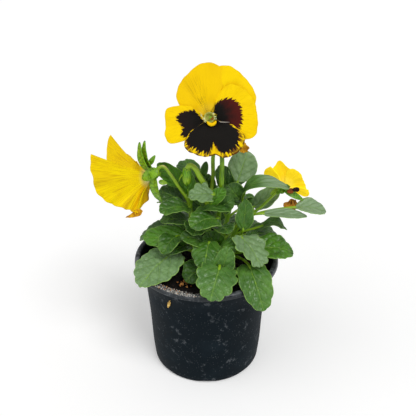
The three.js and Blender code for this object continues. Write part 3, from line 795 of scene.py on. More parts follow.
@dataclass
class Leaf:
    """One leaf blade, from the joint with its stalk to its tip."""

    joint: Point
    tip: Point
    width: float
    face: Point = (0, 0, 1)
    arch: float = 3
    cup: float = 2
    belly: float = 0.15
    heart: float = 0
    wedge: float = 0
    depth: float = 0.08
    teeth: int | None = None
    ruffle: float = 0
    stalk: float = 1.15
    own: float = 0.5
    # How much the tone climbs from foot to tip: painted light, from a glow through the blade to a sheen.
    painted_light_to_tip: float = 0
    tooth_pitch: float = 5.2
    quilt: float = 0.3
    dent: float = 0.42
    thickness: float = 0.42

    def __post_init__(self) -> None:
        """Settles the blade's own directions."""
        if self.teeth is None:
            self.teeth = max(2, math.floor(self.width / self.tooth_pitch + 0.5))
        self.start, self.end = np.array(self.joint, float), np.array(self.tip, float)
        self.run = unit(self.end - self.start)
        look = np.array(self.face, float)
        self.normal = unit(look - self.run * look.dot(self.run))
        self.side = np.cross(self.run, self.normal)
        self.length = float(np.linalg.norm(self.end - self.start))
        self.bend = (self.start + self.end) / 2 + self.normal * (2 * self.arch)

    def edge(self, u: Array) -> tuple[Array, Array]:
        """How far along the midrib and how far out a point of the edge lies."""
        a = math.pi * u
        end = np.maximum(np.sin(a), 0)
        wave = np.abs(np.sin(math.pi * (self.teeth + 0.5) * u)) - 0.65 if self.teeth else 0 * u
        swell = 1 + self.depth * wave * np.sqrt(end)
        reach = (1 - np.cos(a)) / 2 - 2 * self.heart * end * (1 - u) ** 3
        narrow = np.minimum(1, u / self.wedge) ** 0.8 if self.wedge > 0 else 1
        return 0.5 + (reach - 0.5) * swell, end * (1 + self.belly * np.cos(a)) * narrow * swell

    def rib(self, x: Array) -> Array:
        """The midrib's line."""
        x = np.asarray(x)[..., None]
        return self.start * (1 - x) ** 2 + self.bend * 2 * x * (1 - x) + self.end * x * x

    def heading(self, x: Array) -> Array:
        """The midrib's direction."""
        x = np.asarray(x)[..., None]
        return unit((self.bend - self.start) * (1 - x) + (self.end - self.bend) * x)

    def place(self, u: Array, v: Array) -> Skin:
        """Places the blade's points: u along its edge from the joint to the tip, v across it."""
        t = 2 * v - 1
        reach, out = self.edge(u)
        a = np.abs(t)
        x = u + (reach - u) * a
        normal = np.cross(self.side, self.heading(x))
        wave = np.sin(5 * math.pi * u + np.where(t > 0, 1.3, 0))
        lift = self.cup * (out * a) ** 2 + self.ruffle * a * a * wave + self.relief(x, out, t)
        points = self.rib(x) + self.side * (out * self.width * t / 2)[:, None] + normal * lift[:, None]
        # Along the blade the tone may climb towards the tip, carrying painted light: a painted glow at the
        # foot, a painted sheen at the tip.
        tones = {"own": self.own + self.painted_light_to_tip * (x - 0.5), "edge": a}
        return Skin(points, np.stack([x, out * t], 1), tones)

    def relief(self, x: Array, out: Array, t: Array) -> Array:
        """The blade's unevenness: quilting between the veins, dents, the midrib's groove, a loose edge.

        Args:
            x: How far along the midrib a point lies, from 0 to 1.
            out: How far out the edge stands there, as a share of half the width.
            t: How far across the blade the point lies, with its edges at -1 and 1.

        Returns:
            How far the point is lifted, in millimetres.
        """
        a = np.abs(t)
        w = out * a
        phase = (x - VEIN_SLANT * w ** VEIN_BEND) * SIDE_VEINS + self.own * VEIN_SHIFT
        ridge = np.abs(phase % 1 - 0.5) * 2
        quilting = (0.5 - ridge ** 3) * self.quilt * np.minimum(1, w * 4) * np.minimum(1, (1 - a) * 5)
        p, q = x * self.length, out * t * self.width / 2
        shift = 29 * self.own
        dents = np.sin(0.52 * p + 0.3 * q + shift) * np.cos(0.61 * q - 0.2 * p + 1.7 * shift)
        dents += 0.6 * np.sin(1.1 * p - 0.7 * q + 2 * shift) * np.cos(0.9 * q + 0.5 * p)
        dents *= self.dent * np.minimum(1, x * 5) * min(1, self.width / 18)
        groove = self.quilt * 1.6 * np.exp(-((out * t) / 0.07) ** 2) * (1 - x * 0.6)
        lift = quilting + dents - groove * min(1, self.width / 12)
        if self.teeth:
            loose = (math.sin(17 * self.own) + 1.5) * self.width / 50
            lift += loose * a ** 3 * np.sin(9 * x + 7 * self.own + np.where(t > 0, 2.0, 0))
        return lift

    def blade(self, name: str) -> Piece:
        """Builds the blade."""
        columns = 10 * (self.teeth + 2) if self.teeth else 18
        rows = max(10, 2 * round(self.width * 0.6))
        return thicken(grow(name, columns, rows, self.place), self.thickness)

    def rib_path(self, foot: Array, steps: int = 12) -> Array:
        """The stalk's middle line from the stem to the joint and on under the midrib."""
        run = np.linalg.norm(self.start - foot)
        heading = self.heading(0.0)
        stalk = bezier(foot, foot + UP * run * 0.3, self.start - heading * run * 0.35, self.start, steps)
        x = np.linspace(0.06, 0.9, 10)
        under = np.cross(self.side, self.heading(x))
        drop = 1.1 * (1 - x) + 0.4
        return np.vstack([stalk, self.rib(x) - under * drop[:, None]])


@dataclass
class Stem:
    """A leafy stem that comes up out of the soil."""

    name: str
    foot: tuple[float, float]
    radius: float
    path: list[Point]
    leaves: list[Leaf] = field(default_factory=list)
    soil_level: float = 91
    depth: float = 15
    slope: float = 0.55
    lowest: float = 99
    swell: tuple[float, ...] = (1.05, 1.0, 1.08, 0.95, 1.02, 0.85)
    full_width: float = 20

    def __post_init__(self) -> None:
        """Runs its middle line."""
        x, y = self.foot
        start = [(x, y, self.soil_level + rise) for rise in (-self.depth, -4, 6)]
        self.line = curve_points([*start, *self.path], 10)

    def at(self, height: float) -> Array:
        """The middle line's point at a height, or its end."""
        above = np.nonzero(self.line[:, 2] >= height)[0]
        return self.line[above[0] if len(above) else -1]

    def stalks(self) -> list[Piece]:
        """Builds the stem and its leaf stalks."""
        girth = [self.radius * share for share in self.swell]
        pieces = [tube("stem", self.line, girth, 14, 0.3)]
        for leaf in self.leaves:
            away = math.hypot(leaf.start[0] - self.foot[0], leaf.start[1] - self.foot[1])
            start = self.at(max(self.lowest, leaf.start[2] - self.slope * away))
            slim = min(1, leaf.width / self.full_width)
            shares = (1.15, 0.95, 0.9, 0.9, 0.8 * slim, 0.5 * slim, 0.15)
            radii = [leaf.stalk * share for share in shares]
            pieces.append(tube("stalk", leaf.rib_path(start), radii, 10, 0.35 + 0.3 * leaf.own))
        return pieces

    def build(self, branches: "Sequence[Stalk | Bloom | Bud]" = ()) -> None:
        """Builds the stem, its leaf stalks, its leaves and the green of what branches from it."""
        extra = [piece for branch in branches for piece in branch.green()]
        stalks = join(f"{self.name}_stalks", [*self.stalks(), *extra])
        hand_over(stalks, StemFinish(), Slot.LEAF, self.name)
        if self.leaves:
            blades = [leaf.blade("blade") for leaf in self.leaves]
            hand_over(join(f"{self.name}_leaves", blades), LeafFinish(), Slot.LEAF, self.name)


@dataclass(frozen=True)
class Stalk:
    """A bare stalk that branches from a stem."""

    marks: list[Point]
    radii: tuple[float, ...]
    sides: int = 12
    own: float = 0.5
    # How strongly its sunny top gets the painted highlight.
    lit: float = 0

    def green(self) -> list[Piece]:
        """Builds it."""
        return [tube("stalk", curve_points(self.marks), self.radii, self.sides, self.own, self.lit)]


@dataclass(frozen=True)
class Tier:
    """Leaves evenly turned round an axis at one height, each a little different."""

    axis: tuple[float, float]
    turns: tuple[float, ...]
    height: float
    reach: float
    length: float
    width: float
    droop: float
    turn_spread: float = 8
    height_spread: float = 5
    size_spread: float = 0.16

    def varied(self, size: float, draw: Draw) -> float:
        """A size made a little smaller or larger."""
        return size * (1 - self.size_spread / 2 + self.size_spread * draw())

    def leaves(self, draw: Draw) -> list[Leaf]:
        """Settles its leaves."""
        made = []
        for turn in self.turns:
            a = math.radians(turn + self.turn_spread * (draw() - 0.5))
            out = np.array([math.cos(a), math.sin(a)])
            z = self.height + self.height_spread * (draw() - 0.5)
            reach = self.reach + self.varied(self.length * math.cos(self.droop), draw)
            joint, tip = (np.array(self.axis) + out * away for away in (self.reach, reach))
            end_z = z - self.length * math.sin(self.droop)
            own = 0.2 + 0.5 * (turn * 0.37 % 1)
            width, face = self.varied(self.width, draw), (*out * 0.25, 1)
            made.append(Leaf((*joint, z), (*tip, end_z), width, face, arch=3.5, belly=0.1, own=own))
        return made


# ---------------------------------------------------------------- blooms


@dataclass
class Petal:
    """One petal: a fan of radii from a first to a last degree round its bloom's axis."""

    first: float
    last: float
    radii: tuple[float, ...]
    splay: float = 90
    base: tuple[float, float] = (0, 0)
    layer: float = 0
    bow: float = 1
    wave: float = 0.6
    blotch: tuple[float, ...] | None = None
    cuts: tuple[tuple[float, float, float], ...] = ()
    eye: tuple[float, float, float] | None = None
    folds: tuple[tuple[float, float, float], ...] = ()
    frill: float = 0.2
    ripple: float = 0.12
    seat: float = 3.2
    middle: float = 3
    claw: float = 38
    rows: int = 30
    thickness: float = 0.45

    def build(self, name: str, bloom: "Bloom") -> Piece:
        """Builds the petal on its bloom.

        Args:
            name: The piece's name.
            bloom: The bloom whose axes it stands on.

        Returns:
            The piece.
        """
        foot = self.middle / math.sin(math.radians(self.splay))
        half, claw = math.radians((self.last - self.first) / 2), math.radians(self.claw)
        middle = (self.first + self.last) / 2
        out, across = bloom.direction(middle, self.splay), bloom.direction(middle + 90, 90)
        normal = np.cross(out, across)
        origin = bloom.point(*self.base, -self.seat - foot * math.cos(math.radians(self.splay)))

        def place(share: Array, row: Array) -> Skin:
            """Places the petal's points: share across the fan, row from its foot to its edge."""
            turn = np.minimum(half, claw + row * half) * (2 * share - 1)
            edge = along(self.radii, share) + self.ripple * np.sin(RIPPLES * turn + self.first)
            reach = foot + row * (edge - foot)
            rise = np.sin(np.minimum(1, 2 * row) * math.pi / 2)
            lift = (self.seat + self.layer) * rise + self.bow * row * (1 - row) * 4
            lift += self.wave * row ** 2 * np.sin(WAVES * turn + self.first)
            frills = np.sin(FRILLS[0] * turn + 2 * self.first) + 0.6 * np.sin(FRILLS[1] * turn)
            lift += self.frill * row ** 3 * frills
            crease = 0 * row
            for at, width, depth in self.folds:
                crease += depth * np.exp(-(((share - at) / width) ** 2)) * row ** 1.2
            lift += crease
            spread = out * (reach * np.cos(turn))[:, None] + across * (reach * np.sin(turn))[:, None]
            points = origin + spread + normal * lift[:, None]
            tones = {"blotch": self.stain(share, turn + math.radians(middle), reach)}
            # The fold tone marks the folds' valleys, which the finish darkens as painted shade.
            tones |= {"fold": np.clip(-crease * 0.5, 0, 0.6), "edge": row}
            return Skin(points, np.stack([turn, reach / 10], 1), tones)

        span = 2 * half * max(self.radii)
        piece = thicken(grow(name, max(24, round(span * 1.6)), self.rows, place), self.thickness)
        mark(piece.data, "front", np.clip(rows_of(piece.data, "normal") @ normal * 3 + 0.5, 0, 1))
        return piece

    def stain(self, share: Array, angle: Array, reach: Array) -> Array:
        """How deep inside the dark blotch a point lies, in millimetres; outside it is below 0."""
        if not self.blotch:
            return np.full_like(share, NO_BLOTCH)
        inside = along(self.blotch, share) - reach
        x, y = self.base[0] + reach * np.cos(angle), self.base[1] + reach * np.sin(angle)
        for at_x, at_y, way in self.cuts:
            a = math.radians(way)
            inside = np.minimum(inside, 3 * ((x - at_x) * math.cos(a) + (y - at_y) * math.sin(a)))
        if self.eye:
            inside = np.minimum(inside, 3 * (np.hypot(x - self.eye[0], y - self.eye[1]) - self.eye[2]))
        return inside


STIGMA = ((0, -1.4), (0.8, -1.2), (1.15, -0.2), (1.0, 0.7), (0.6, 1.0), (0.4, 0.7), (0, 0.6))
SEPAL_SKIN = {"teeth": 0, "quilt": 0.15, "thickness": 0.5}


@dataclass(frozen=True)
class Sepal:
    """One of the green leaves behind a bloom."""

    turn: float
    splay: float = 100
    length: float = 15
    width: float = 4.5
    arch: float = 2


@dataclass
class Bloom:
    """A flower on its own axes: look is the way it faces, up and side lie across it."""

    name: str
    centre: Point
    look: Point
    petals: list[tuple[Petal, PetalFinish]]
    sepals: list[Sepal]
    flaps: list[Leaf] = field(default_factory=list)
    back: float = -5.8
    stalk_end: float = -8.5
    cup_depth: float = 4
    cup_radius: float = 2.9
    ear_splay: float = 150
    ear_length: float = 4.2
    ear_width: float = 3.4

    def __post_init__(self) -> None:
        """Settles its axes."""
        self.z = unit(np.array(self.look, float))
        self.x = unit(np.cross(UP, self.z))
        self.y = np.cross(self.z, self.x)

    def point(self, side: float, up: float, look: float) -> Array:
        """A point of the flower from its own coordinates."""
        return np.array(self.centre, float) + self.x * side + self.y * up + self.z * look

    def direction(self, turn: float, splay: float) -> Array:
        """A direction so many degrees round the axis and away from it."""
        a, b = math.radians(turn), math.radians(splay)
        return self.z * math.cos(b) + (self.x * math.cos(a) + self.y * math.sin(a)) * math.sin(b)

    def seat(self) -> Point:
        """Where its stalk ends, at the back of its receptacle."""
        return tuple(self.point(0, 0, self.stalk_end))

    def turned(self, name: str, profile: Profile, height: float) -> Piece:
        """Turns a shape on the flower's axis, its foot so high on it."""
        return lathe(name, profile, 16, np.array([self.x, self.y, self.z]), self.point(0, 0, height))

    def green(self) -> list[Piece]:
        """Builds the receptacle, the style with its stigma, and the sepals with their ears."""
        r, d = self.cup_radius, self.cup_depth
        cup = [(0, -d - 0.2), (1.9, -d + 0.5), (r, -1.4), (r - 0.3, -0.2), (0, 0)]
        style = np.linspace(self.point(0, 0, self.back - 1), self.point(0, 0, -1), 6)
        pieces = [
            self.turned("receptacle", cup, self.back), self.turned("stigma", STIGMA, 0),
            tube("style", style, [0.7, 0.7, 0.9], 10, 0.6),
        ]
        for k, sepal in enumerate(self.sepals):
            pieces += self.sepal(sepal, k)
        for k, flap in enumerate(self.flaps):
            pieces.append(replace(flap, cup=0.7, belly=0.3, own=0.08 * k, **SEPAL_SKIN).blade("sepal"))
        return pieces

    def sepal(self, sepal: Sepal, k: int) -> list[Piece]:
        """Builds one sepal, and the short ear that it runs back into."""
        shape = {"cup": 0.6, "own": 0.2 + 0.13 * k, **SEPAL_SKIN}
        joint = self.point(0, 0, self.back - 2) + self.direction(sepal.turn, 90) * 1.2
        tip = joint + self.direction(sepal.turn, sepal.splay) * sepal.length
        face = self.direction(sepal.turn, sepal.splay - 90)
        blade = Leaf(joint, tip, sepal.width, face, sepal.arch, belly=0.35, **shape)
        root = joint + self.z * 0.5
        ear_tip = root + self.direction(sepal.turn, self.ear_splay) * self.ear_length
        face = self.direction(sepal.turn, self.ear_splay - 90)
        ear = Leaf(root, ear_tip, self.ear_width, face, 0.5, belly=-0.2, **shape)
        return [blade.blade("sepal"), ear.blade("ear")]

    def build(self) -> None:
        """Builds its petals, one piece each."""
        for k, (petal, finish) in enumerate(self.petals, 1):
            piece = petal.build(f"{self.name}_petal_{k}", self)
            hand_over(piece, finish, Slot.PETAL, f"bloom_{self.name}")


# ---------------------------------------------------------------- pot and soil


@dataclass
class Pot:
    """The round nursery pot: thin wall, rolled lip, flat floor and drain notches in its foot."""

    name: str = "nursery_pot"
    height: float = 100
    lip: float = 60
    lip_depth: float = 4.6
    mouth: float = 55
    foot: float = 45
    sole: float = 42
    inset: float = 9
    wall: float = 1.3
    floor: float = 1.6
    sides: int = 128
    notches: int = 8
    notch_width: float = 17
    notch_height: float = 2.2
    notch_inner: float = 34
    crease: float = 50
    line: Profile = (
        (45.9, 2.4), (47.4, 18), (48.6, 44), (50.5, 68), (51.7, 80), (53.6, 87), (56.3, 95.4),
    )

    def profile(self) -> Profile:
        """Radii and heights up the outside, over the lip and down the inside to the floor."""
        outside = curve_points([(r, z, 0.0) for r, z in self.line], PROFILE_STEPS)
        outer, inner, top, under = self.lip, self.mouth, self.height, self.height - self.lip_depth
        lip = [
            (outer - 1.1, under - 0.1), (outer - 0.35, under + 0.3), (outer, under + 1),
            (outer - 0.1, top - 2.6), (outer - 0.35, top - 1.2), (outer - 0.9, top - 0.4),
            (outer - 1.7, top), (inner + 1.6, top), (inner + 0.8, top - 0.3), (inner + 0.3, top - 1),
            (inner, top - 2.4),
        ]
        inside = [(r - self.wall, z) for r, z, _ in outside[::-1][6:]]
        return [(r, z) for r, z, _ in outside] + lip + inside + [(self.foot - 2.4, self.floor)]

    def build(self) -> None:
        """Draws the foot's circle, pulls it up ring by ring, closes it and cuts the notches."""
        deselect()
        bpy.ops.mesh.primitive_circle_add(vertices=self.sides, radius=self.sole * MM, fill_type="NGON")
        pot = bpy.context.active_object
        pot.name = pot.data.name = self.name
        with editing(pot):
            bpy.ops.mesh.inset(thickness=self.inset * MM)
        self.select_rim(pot)
        bpy.ops.object.mode_set(mode="EDIT")
        radius, level = self.sole, 0.0
        for r, z in [(self.foot - 0.8, 0.35), (self.foot + 0.3, 1.1), *self.profile()]:
            bpy.ops.mesh.extrude_region_move(TRANSFORM_OT_translate={"value": (0, 0, (z - level) * MM)})
            scale = r / radius
            bpy.ops.transform.resize(value=(scale, scale, 1), center_override=(0, 0, 0))
            radius, level = r, z
        bpy.ops.mesh.edge_face_add()
        bpy.ops.mesh.inset(thickness=self.inset * MM)
        bpy.ops.mesh.select_all(action="SELECT")
        bpy.ops.mesh.normals_make_consistent(inside=False)
        bpy.ops.object.mode_set(mode="OBJECT")
        self.cut(pot)
        take(pot)
        bpy.ops.object.shade_smooth_by_angle(angle=math.radians(self.crease))
        places = rows_of(pot.data) / MM
        height, radial = places[:, 2], np.hypot(places[:, 0], places[:, 1])
        top, under, inner = self.height, self.height - self.lip_depth, self.mouth
        # The lip tone: the top of the lip by its inner edge, where the finish paints a sheen.
        mark(pot.data, "lip", fade(height, top - 1.8, top - 0.2) * fade(radial, inner - 1, inner + 1))
        mark(pot.data, "rim", fade(height, under - 0.2, under + 1.3) * fade(radial, inner, inner + 1.5))
        hand_over(pot, PotFinish(), Slot.POT, "pot")

    def select_rim(self, pot: Piece) -> None:
        """Selects only the foot's outer circle of edges."""
        for item in (*pot.data.polygons, *pot.data.edges, *pot.data.vertices):
            item.select = False
        for edge in pot.data.edges:
            ends = [pot.data.vertices[k].co for k in edge.vertices]
            edge.select = all(abs(end.length - self.sole * MM) < 0.01 * MM for end in ends)
            if edge.select:
                for k in edge.vertices:
                    pot.data.vertices[k].select = True

    def cut(self, pot: Piece) -> None:
        """Cuts the arched notches under the foot, which go through the floor's edge as drains."""
        cutters = []
        length = self.foot + 4 - self.notch_inner
        for k in range(self.notches):
            turn = 2 * math.pi * k / self.notches
            deselect()
            bpy.ops.mesh.primitive_cylinder_add(
                vertices=32, radius=1, depth=length * MM, rotation=(math.pi / 2, 0, 0),
                location=(0, -(self.notch_inner + length / 2) * MM, 0),
            )
            cutter = bpy.context.active_object
            cutter.scale = (self.notch_width / 2 * MM, self.notch_height * MM, 1)
            bpy.ops.object.transform_apply(location=True, rotation=True, scale=True)
            bpy.ops.transform.rotate(value=-turn, orient_axis="Z", center_override=(0, 0, 0))
            bpy.ops.object.transform_apply(location=True, rotation=True, scale=True)
            cutters.append(cutter)
        tool = join("notch_cutter", cutters)
        take(pot)
        notch = pot.modifiers.new("notches", "BOOLEAN")
        notch.operation, notch.object, notch.solver = "DIFFERENCE", tool, "EXACT"
        bpy.ops.object.modifier_apply(modifier=notch.name)
        bpy.data.objects.remove(tool)


Grain = tuple[float, float, float, float]

CRUMB_BROWN = GrainFinish("soil_crumbs", tint(16, 13, 11), tint(64, 42, 28))
GRIT_PALE = GrainFinish("grit_pale", tint(58, 52, 48), tint(214, 210, 202))
BARK_YELLOW = GrainFinish("bark_yellow", tint(176, 112, 34), tint(248, 216, 130))
BARK_OCHRE = GrainFinish("bark_ochre", tint(126, 66, 28), tint(218, 160, 90))
WALL_CHIP: tuple[Grain, ...] = (
    (-29.2, -43.7, 82.5, 1.5), (-28.7, -44.1, 84.6, 1.4), (-29.7, -43.5, 80.4, 1.3),
    (-30.4, -42.9, 78.4, 1.0), (-28.2, -44.6, 86.4, 1.0),
)
BARK: tuple[Grain, ...] = (
    (-18, -30, 94.4, 1.2), (-31, -22, 93.2, 1.2), (30, -37, 92.6, 1.1), (8, -47, 93, 1.2),
    (-15, -33, 94.2, 0.9), (-20, -34, 94.0, 1.1), (-23, -31, 93.8, 0.9), (-12, -36, 93.4, 0.8),
)


@dataclass
class Soil:
    """The potting soil and what lies loose on it and on the lip."""

    level: float = 91
    crown: float = 3
    crumb: float = 1.1
    rim: float = 52.5
    strewn: float = 51
    side: Profile = (
        (0, 2.2), (41, 2.2), (44.6, 18), (46, 44), (48.2, 68), (49.8, 80), (51.9, 88), (52.5, 91),
    )
    rings: int = 90
    columns: int = 160
    crumbs: int = 420
    grit: int = 380
    clump: int = 26
    bits: int = 34
    lip_inner: float = 50.5
    lip_edge: float = 54.8
    lip_outer: float = 60
    lip_top: float = 100.05
    bark_level: float = 94
    clump_place: tuple[float, float] = (-18.5, -33)
    clump_spread: tuple[float, float] = (3.2, 2.6)
    grit_turn: tuple[float, float] = (246, 11)
    bark_turn: tuple[float, float] = (240, 10)
    seed: int = 7

    def hills(self, x: Array, y: Array) -> Array:
        """Smooth hills and hollows, between -1 and 1."""
        broad = np.sin(x * 0.31 + 1.7) * np.cos(y * 0.27 - 0.6)
        fine = np.sin(x * 0.83 - y * 0.61) * np.cos(x * 0.47 + y * 0.92 + 2.1)
        return 0.5 * broad + 0.5 * fine

    def top(self, x: Array, y: Array) -> Array:
        """The height of the soil at a place."""
        share = np.hypot(x, y) / self.rim
        return self.level + self.crown * (1 - share ** 2) + self.crumb * self.hills(x, y)

    def surface(self, u: Array, v: Array) -> Skin:
        """Wraps a grid into a closed cake: its floor, its side, and its crumbly top."""
        turn = 2 * math.pi * v
        ring = u * self.rings
        wall = len(self.side) - 1
        radius = np.interp(ring, [*range(wall + 1), self.rings], [*(r for r, _ in self.side), 0])
        x, y = radius * np.cos(turn), radius * np.sin(turn)
        places = (Vector((a * 0.16, b * 0.16, 3.0)) for a, b in zip(x, y))
        clods = np.array([noise.fractal(place, 1.0, 2.1, 5) for place in places])
        side = np.interp(ring, range(wall + 1), [z for _, z in self.side])
        z = np.where(ring > wall - 0.5, self.top(x, y) + 1.5 * clods, side)
        return Skin(np.stack([x, y, z], 1), np.stack([x, y], 1) / 100)

    def build(self) -> None:
        """Builds the soil and what lies loose on it."""
        cake = seal(grow("soil_surface", self.rings, self.columns, self.surface))
        hand_over(cake, SoilFinish(), Slot.SOIL, "soil")
        draw = random.Random(self.seed)
        self.strew("soil_crumbs", [self.crumb_at(draw) for _ in range(self.crumbs)], CRUMB_BROWN, draw)
        self.strew("lip_grit", [self.grit_at(draw) for _ in range(self.grit)], GRIT_PALE, draw)
        self.strew("wall_chip", WALL_CHIP, BARK_YELLOW, draw)
        clump = [self.clump_at(draw) for _ in range(self.clump)]
        bits = [self.bark_at(draw) for _ in range(self.bits)]
        self.strew("bark_chips", [*BARK, *clump, *bits], BARK_OCHRE, draw)

    def clump_at(self, draw: random.Random) -> Grain:
        """A place and size for one bit of bark in the clump on the front of the soil."""
        x, y = (draw.gauss(*pair) for pair in zip(self.clump_place, self.clump_spread))
        return x, y, self.bark_level, 0.35 + 0.6 * draw.random()

    def crumb_at(self, draw: random.Random) -> Grain:
        """A place and size for one crumb on the soil."""
        r, turn = self.strewn * math.sqrt(draw.random()), draw.uniform(0, 2 * math.pi)
        x, y = r * math.cos(turn), r * math.sin(turn)
        return x, y, float(self.top(x, y)) + 0.4, 0.5 + 1.3 * draw.random() ** 3

    def grit_at(self, draw: random.Random) -> Grain:
        """A place and size for one grain on the front of the lip."""
        turn = math.radians(draw.gauss(*self.grit_turn))
        r = draw.uniform(self.lip_edge, self.lip_outer)
        return r * math.cos(turn), r * math.sin(turn), self.lip_top, abs(draw.gauss(0.2, 0.16)) + 0.16

    def bark_at(self, draw: random.Random) -> Grain:
        """A place and size for one small bit of bark on the lip or just inside it."""
        turn = math.radians(draw.gauss(*self.bark_turn))
        r = draw.uniform(self.lip_inner, self.lip_outer)
        level = self.lip_top + 0.05 if r > self.lip_edge else self.bark_level - 0.8
        return r * math.cos(turn), r * math.sin(turn), level, 0.3 + 0.5 * draw.random()

    def strew(self, name: str, places: Sequence[Grain], finish: Finish, draw: random.Random) -> None:
        """Strews grains of one finish, each a rough copy of one small stone.

        Args:
            name: The piece's name.
            places: The place and size of each, in millimetres.
            finish: Their finish.
            draw: The stream that turns and squashes them.
        """
        deselect()
        bpy.ops.mesh.primitive_ico_sphere_add(subdivisions=2, radius=1)
        stone = bpy.context.active_object
        base = rows_of(stone.data)
        dents = np.array([noise.noise(Vector(p) * 1.7) for p in base])
        base = base * (1 + 0.5 * dents)[:, None]
        faces = np.array([list(p.vertices) for p in stone.data.polygons])
        bpy.data.objects.remove(stone)
        points, rows, tones = [], [], []
        for k, (x, y, z, size) in enumerate(places):
            euler = Vector([draw.uniform(0, 6.28) for _ in range(3)])
            turn = np.array(Vector((1, 0, 0)).rotation_difference(euler.normalized()).to_matrix())
            squash = np.array([1.0, draw.uniform(0.55, 0.95), draw.uniform(0.35, 0.8)])
            points.append((base * squash) @ turn * size + (x, y, z))
            rows.append(faces + k * len(base))
            tones.append(np.full(len(base), draw.random()))
        mesh = bpy.data.meshes.new(name)
        mesh.from_pydata((np.vstack(points) * MM).tolist(), [], np.vstack(rows).tolist())
        mark(mesh, "own", np.concatenate(tones))
        piece = bpy.data.objects.new(name, mesh)
        bpy.context.scene.collection.objects.link(piece)
        hand_over(piece, finish, Slot.SOIL, "soil")


# ---------------------------------------------------------------- the plant

# A stem gives its foot on the soil, its radius and its middle line above the soil. A leaf gives the joint
# with its stalk, its tip, its width, the way that it faces, how far it arches and how deep it is cupped.

LEFT_STEM = Stem("stem_left", (-9, -5), 2, [
    (-10, -5, 112), (-12, -2, 132), (-13, 1, 150), (-14, 2, 157),
], [
    Leaf((-24, -9, 110), (-52, -43, 98), 36, (-0.1, -0.2, 1), 4, 0),
    Leaf((-13, -7, 120), (-51, -9, 122), 19, (0, -0.9, 1), belly=0),
    Leaf((-24, -10, 124), (-34, -28, 119), 19, heart=0.1),
    Leaf((-13, -9, 114), (-29, -23, 116), 16, (0, -0.2, 1)),
    Leaf((-13, -6, 148), (-36, -18, 151), 19, (0, -0.2, 1), belly=0),
    Leaf((-18, 2, 148), (-39, 4, 157), 24, (0, -0.5, 1)),
    Leaf((-15, -3, 133), (-37, -6, 136), 17, (0, -0.2, 1)),
    Leaf((-18, 4, 164), (-38, 4, 182), 15, (0, -1, 0.3), 2),
    Leaf((-14, 3, 156), (-17, 9, 174), 14, FRONT),
])
FRONT_STEM = Stem("stem_front", (2, -15), 1.9, [(2, -19, 108), (3, -22, 122)], [
    Leaf((-1, -24, 105), (-16, -38, 99), 22, (0, -0.3, 1)),
    Leaf((2, -26, 128), (-2, -44, 115), 23, (0, -0.5, 1), cup=-2, heart=0.25),
    Leaf((10, -44, 116), (3, -66, 102), 30, (0, -1, 1), 4, heart=0.3, depth=0.17, teeth=5),
    Leaf((12, -38, 109), (17, -34, 129), 16, FRONT),
    Leaf((-3, -21, 125), (-20, -25, 133), 17, (0, -0.5, 1)),
    Leaf((10, -24, 122), (22, -34, 124), 17, (0.2, -0.6, 1)),
    Leaf((7, -24, 104), (24, -38, 99), 18, (0.2, -0.4, 1)),
])
CENTRE_STEM = Stem("stem_centre", (3, -3), 2.1, [(2, -4, 120), (1, -3, 145), (0, 2, 158)], [
    Leaf((9, -16, 144), (-12, -32, 146), 24, (0, -0.3, 1)),
    Leaf((-3, -12, 150), (18, -14, 149), 15, arch=2),
    Leaf((5, -14, 164), (-14, -20, 165), 17, (0, -0.6, 1), belly=0.4, wedge=0.3, depth=0.2, teeth=4),
    Leaf((4, -8, 153), (15, -4, 164), 11, (0, -1, 1)),
    Leaf((1, 8, 149), (1, 14, 168), 15, FRONT),
    Leaf((-3, 8, 169), (0, 10, 181), 6, FRONT, 0, teeth=0),
    Leaf((-4, -10, 134), (-10, -28, 136), 22, (-0.1, -0.5, 1)),
    Leaf((10, -10, 132), (17, -27, 137), 20, (0.2, -0.6, 1)),
    Leaf((10, -6, 148), (21, -8, 158), 14, (0.3, -0.9, 0.6)),
    Leaf((-2, 3, 136), (-8, 5, 155), 17, FRONT),
    Leaf((-3, 6, 155), (-7, 8, 171), 11, FRONT),
    Leaf((8, -6, 110), (1, -10, 129), 20, FRONT),
])
FRONT_RIGHT_STEM = Stem("stem_front_right", (14, -10), 2, [
    (19, -12, 106), (25, -13, 118), (28, -12, 127),
], [
    Leaf((28, -20, 129), (42, -41, 115.5), 29, (0.45, -0.2, 1), 2, heart=0.2, depth=0.2, teeth=5),
    Leaf((34, -35, 111), (44, -59, 87), 25, (0.1, -1, 0.8), 4, heart=0.3),
    Leaf((38, -16, 115), (70, -16, 112), 26, (0, -0.3, 1), 5),
    Leaf((34, -14, 117), (38, -6, 127), 11, FRONT),
    Leaf((29, -17, 135), (31, -11, 158), 14, FRONT, 2),
])
RIGHT_STEM = Stem("stem_right", (15, 3), 2.1, [(20, 3, 114), (30, 3, 131), (38, 3, 140)], [
    Leaf((70, -8, 149.7), (95, -4, 144), 17, (0, -0.3, 1), 2, belly=-0.05, wedge=0.25),
    Leaf((46, 2, 127), (66, 2, 123), 16, arch=4),
    Leaf((39, 12, 139), (60, 18, 154), 15, (0.1, -1, 0.6), 2),
    # This arched leaf gets a painted glow at its foot and a painted sheen at its tip.
    Leaf((27, 2, 147), (64.5, -5, 165), 11, (0, -0.5, 1), 19.5, wedge=0.5, belly=-0.35, painted_light_to_tip=1.9),
    Leaf((29, 0, 149), (17, -1, 166), 16, (0, -0.9, 0.35), 2, wedge=0.4, belly=-0.3, depth=0.03),
    Leaf((45, -12, 146), (79, -13.5, 144.5), 9, (0, -0.5, 1), 1, belly=0.1, wedge=0.1),
])
BACK_RIGHT_STEM = Stem("stem_back_right", (12, 13), 2.1, [(16, 15, 118), (20, 17, 140), (22, 15, 156)], [
    Leaf((25, 8, 164), (33, 18, 186), 23.5, FRONT, -1, belly=0, wedge=0.2, depth=0.02, quilt=0.1),
    Leaf((18, 10, 154), (11, 14, 176), 14, FRONT, belly=-0.1),
])
BACK_LEFT_STEM = Stem("stem_back_left", (-7, 11), 2.1, [(-9, 15, 118), (-11, 18, 140), (-12, 18, 152)])

# A tier gives its axis, the turns of its leaves, their height, how far out they start, their length, their
# width and their droop in radians.

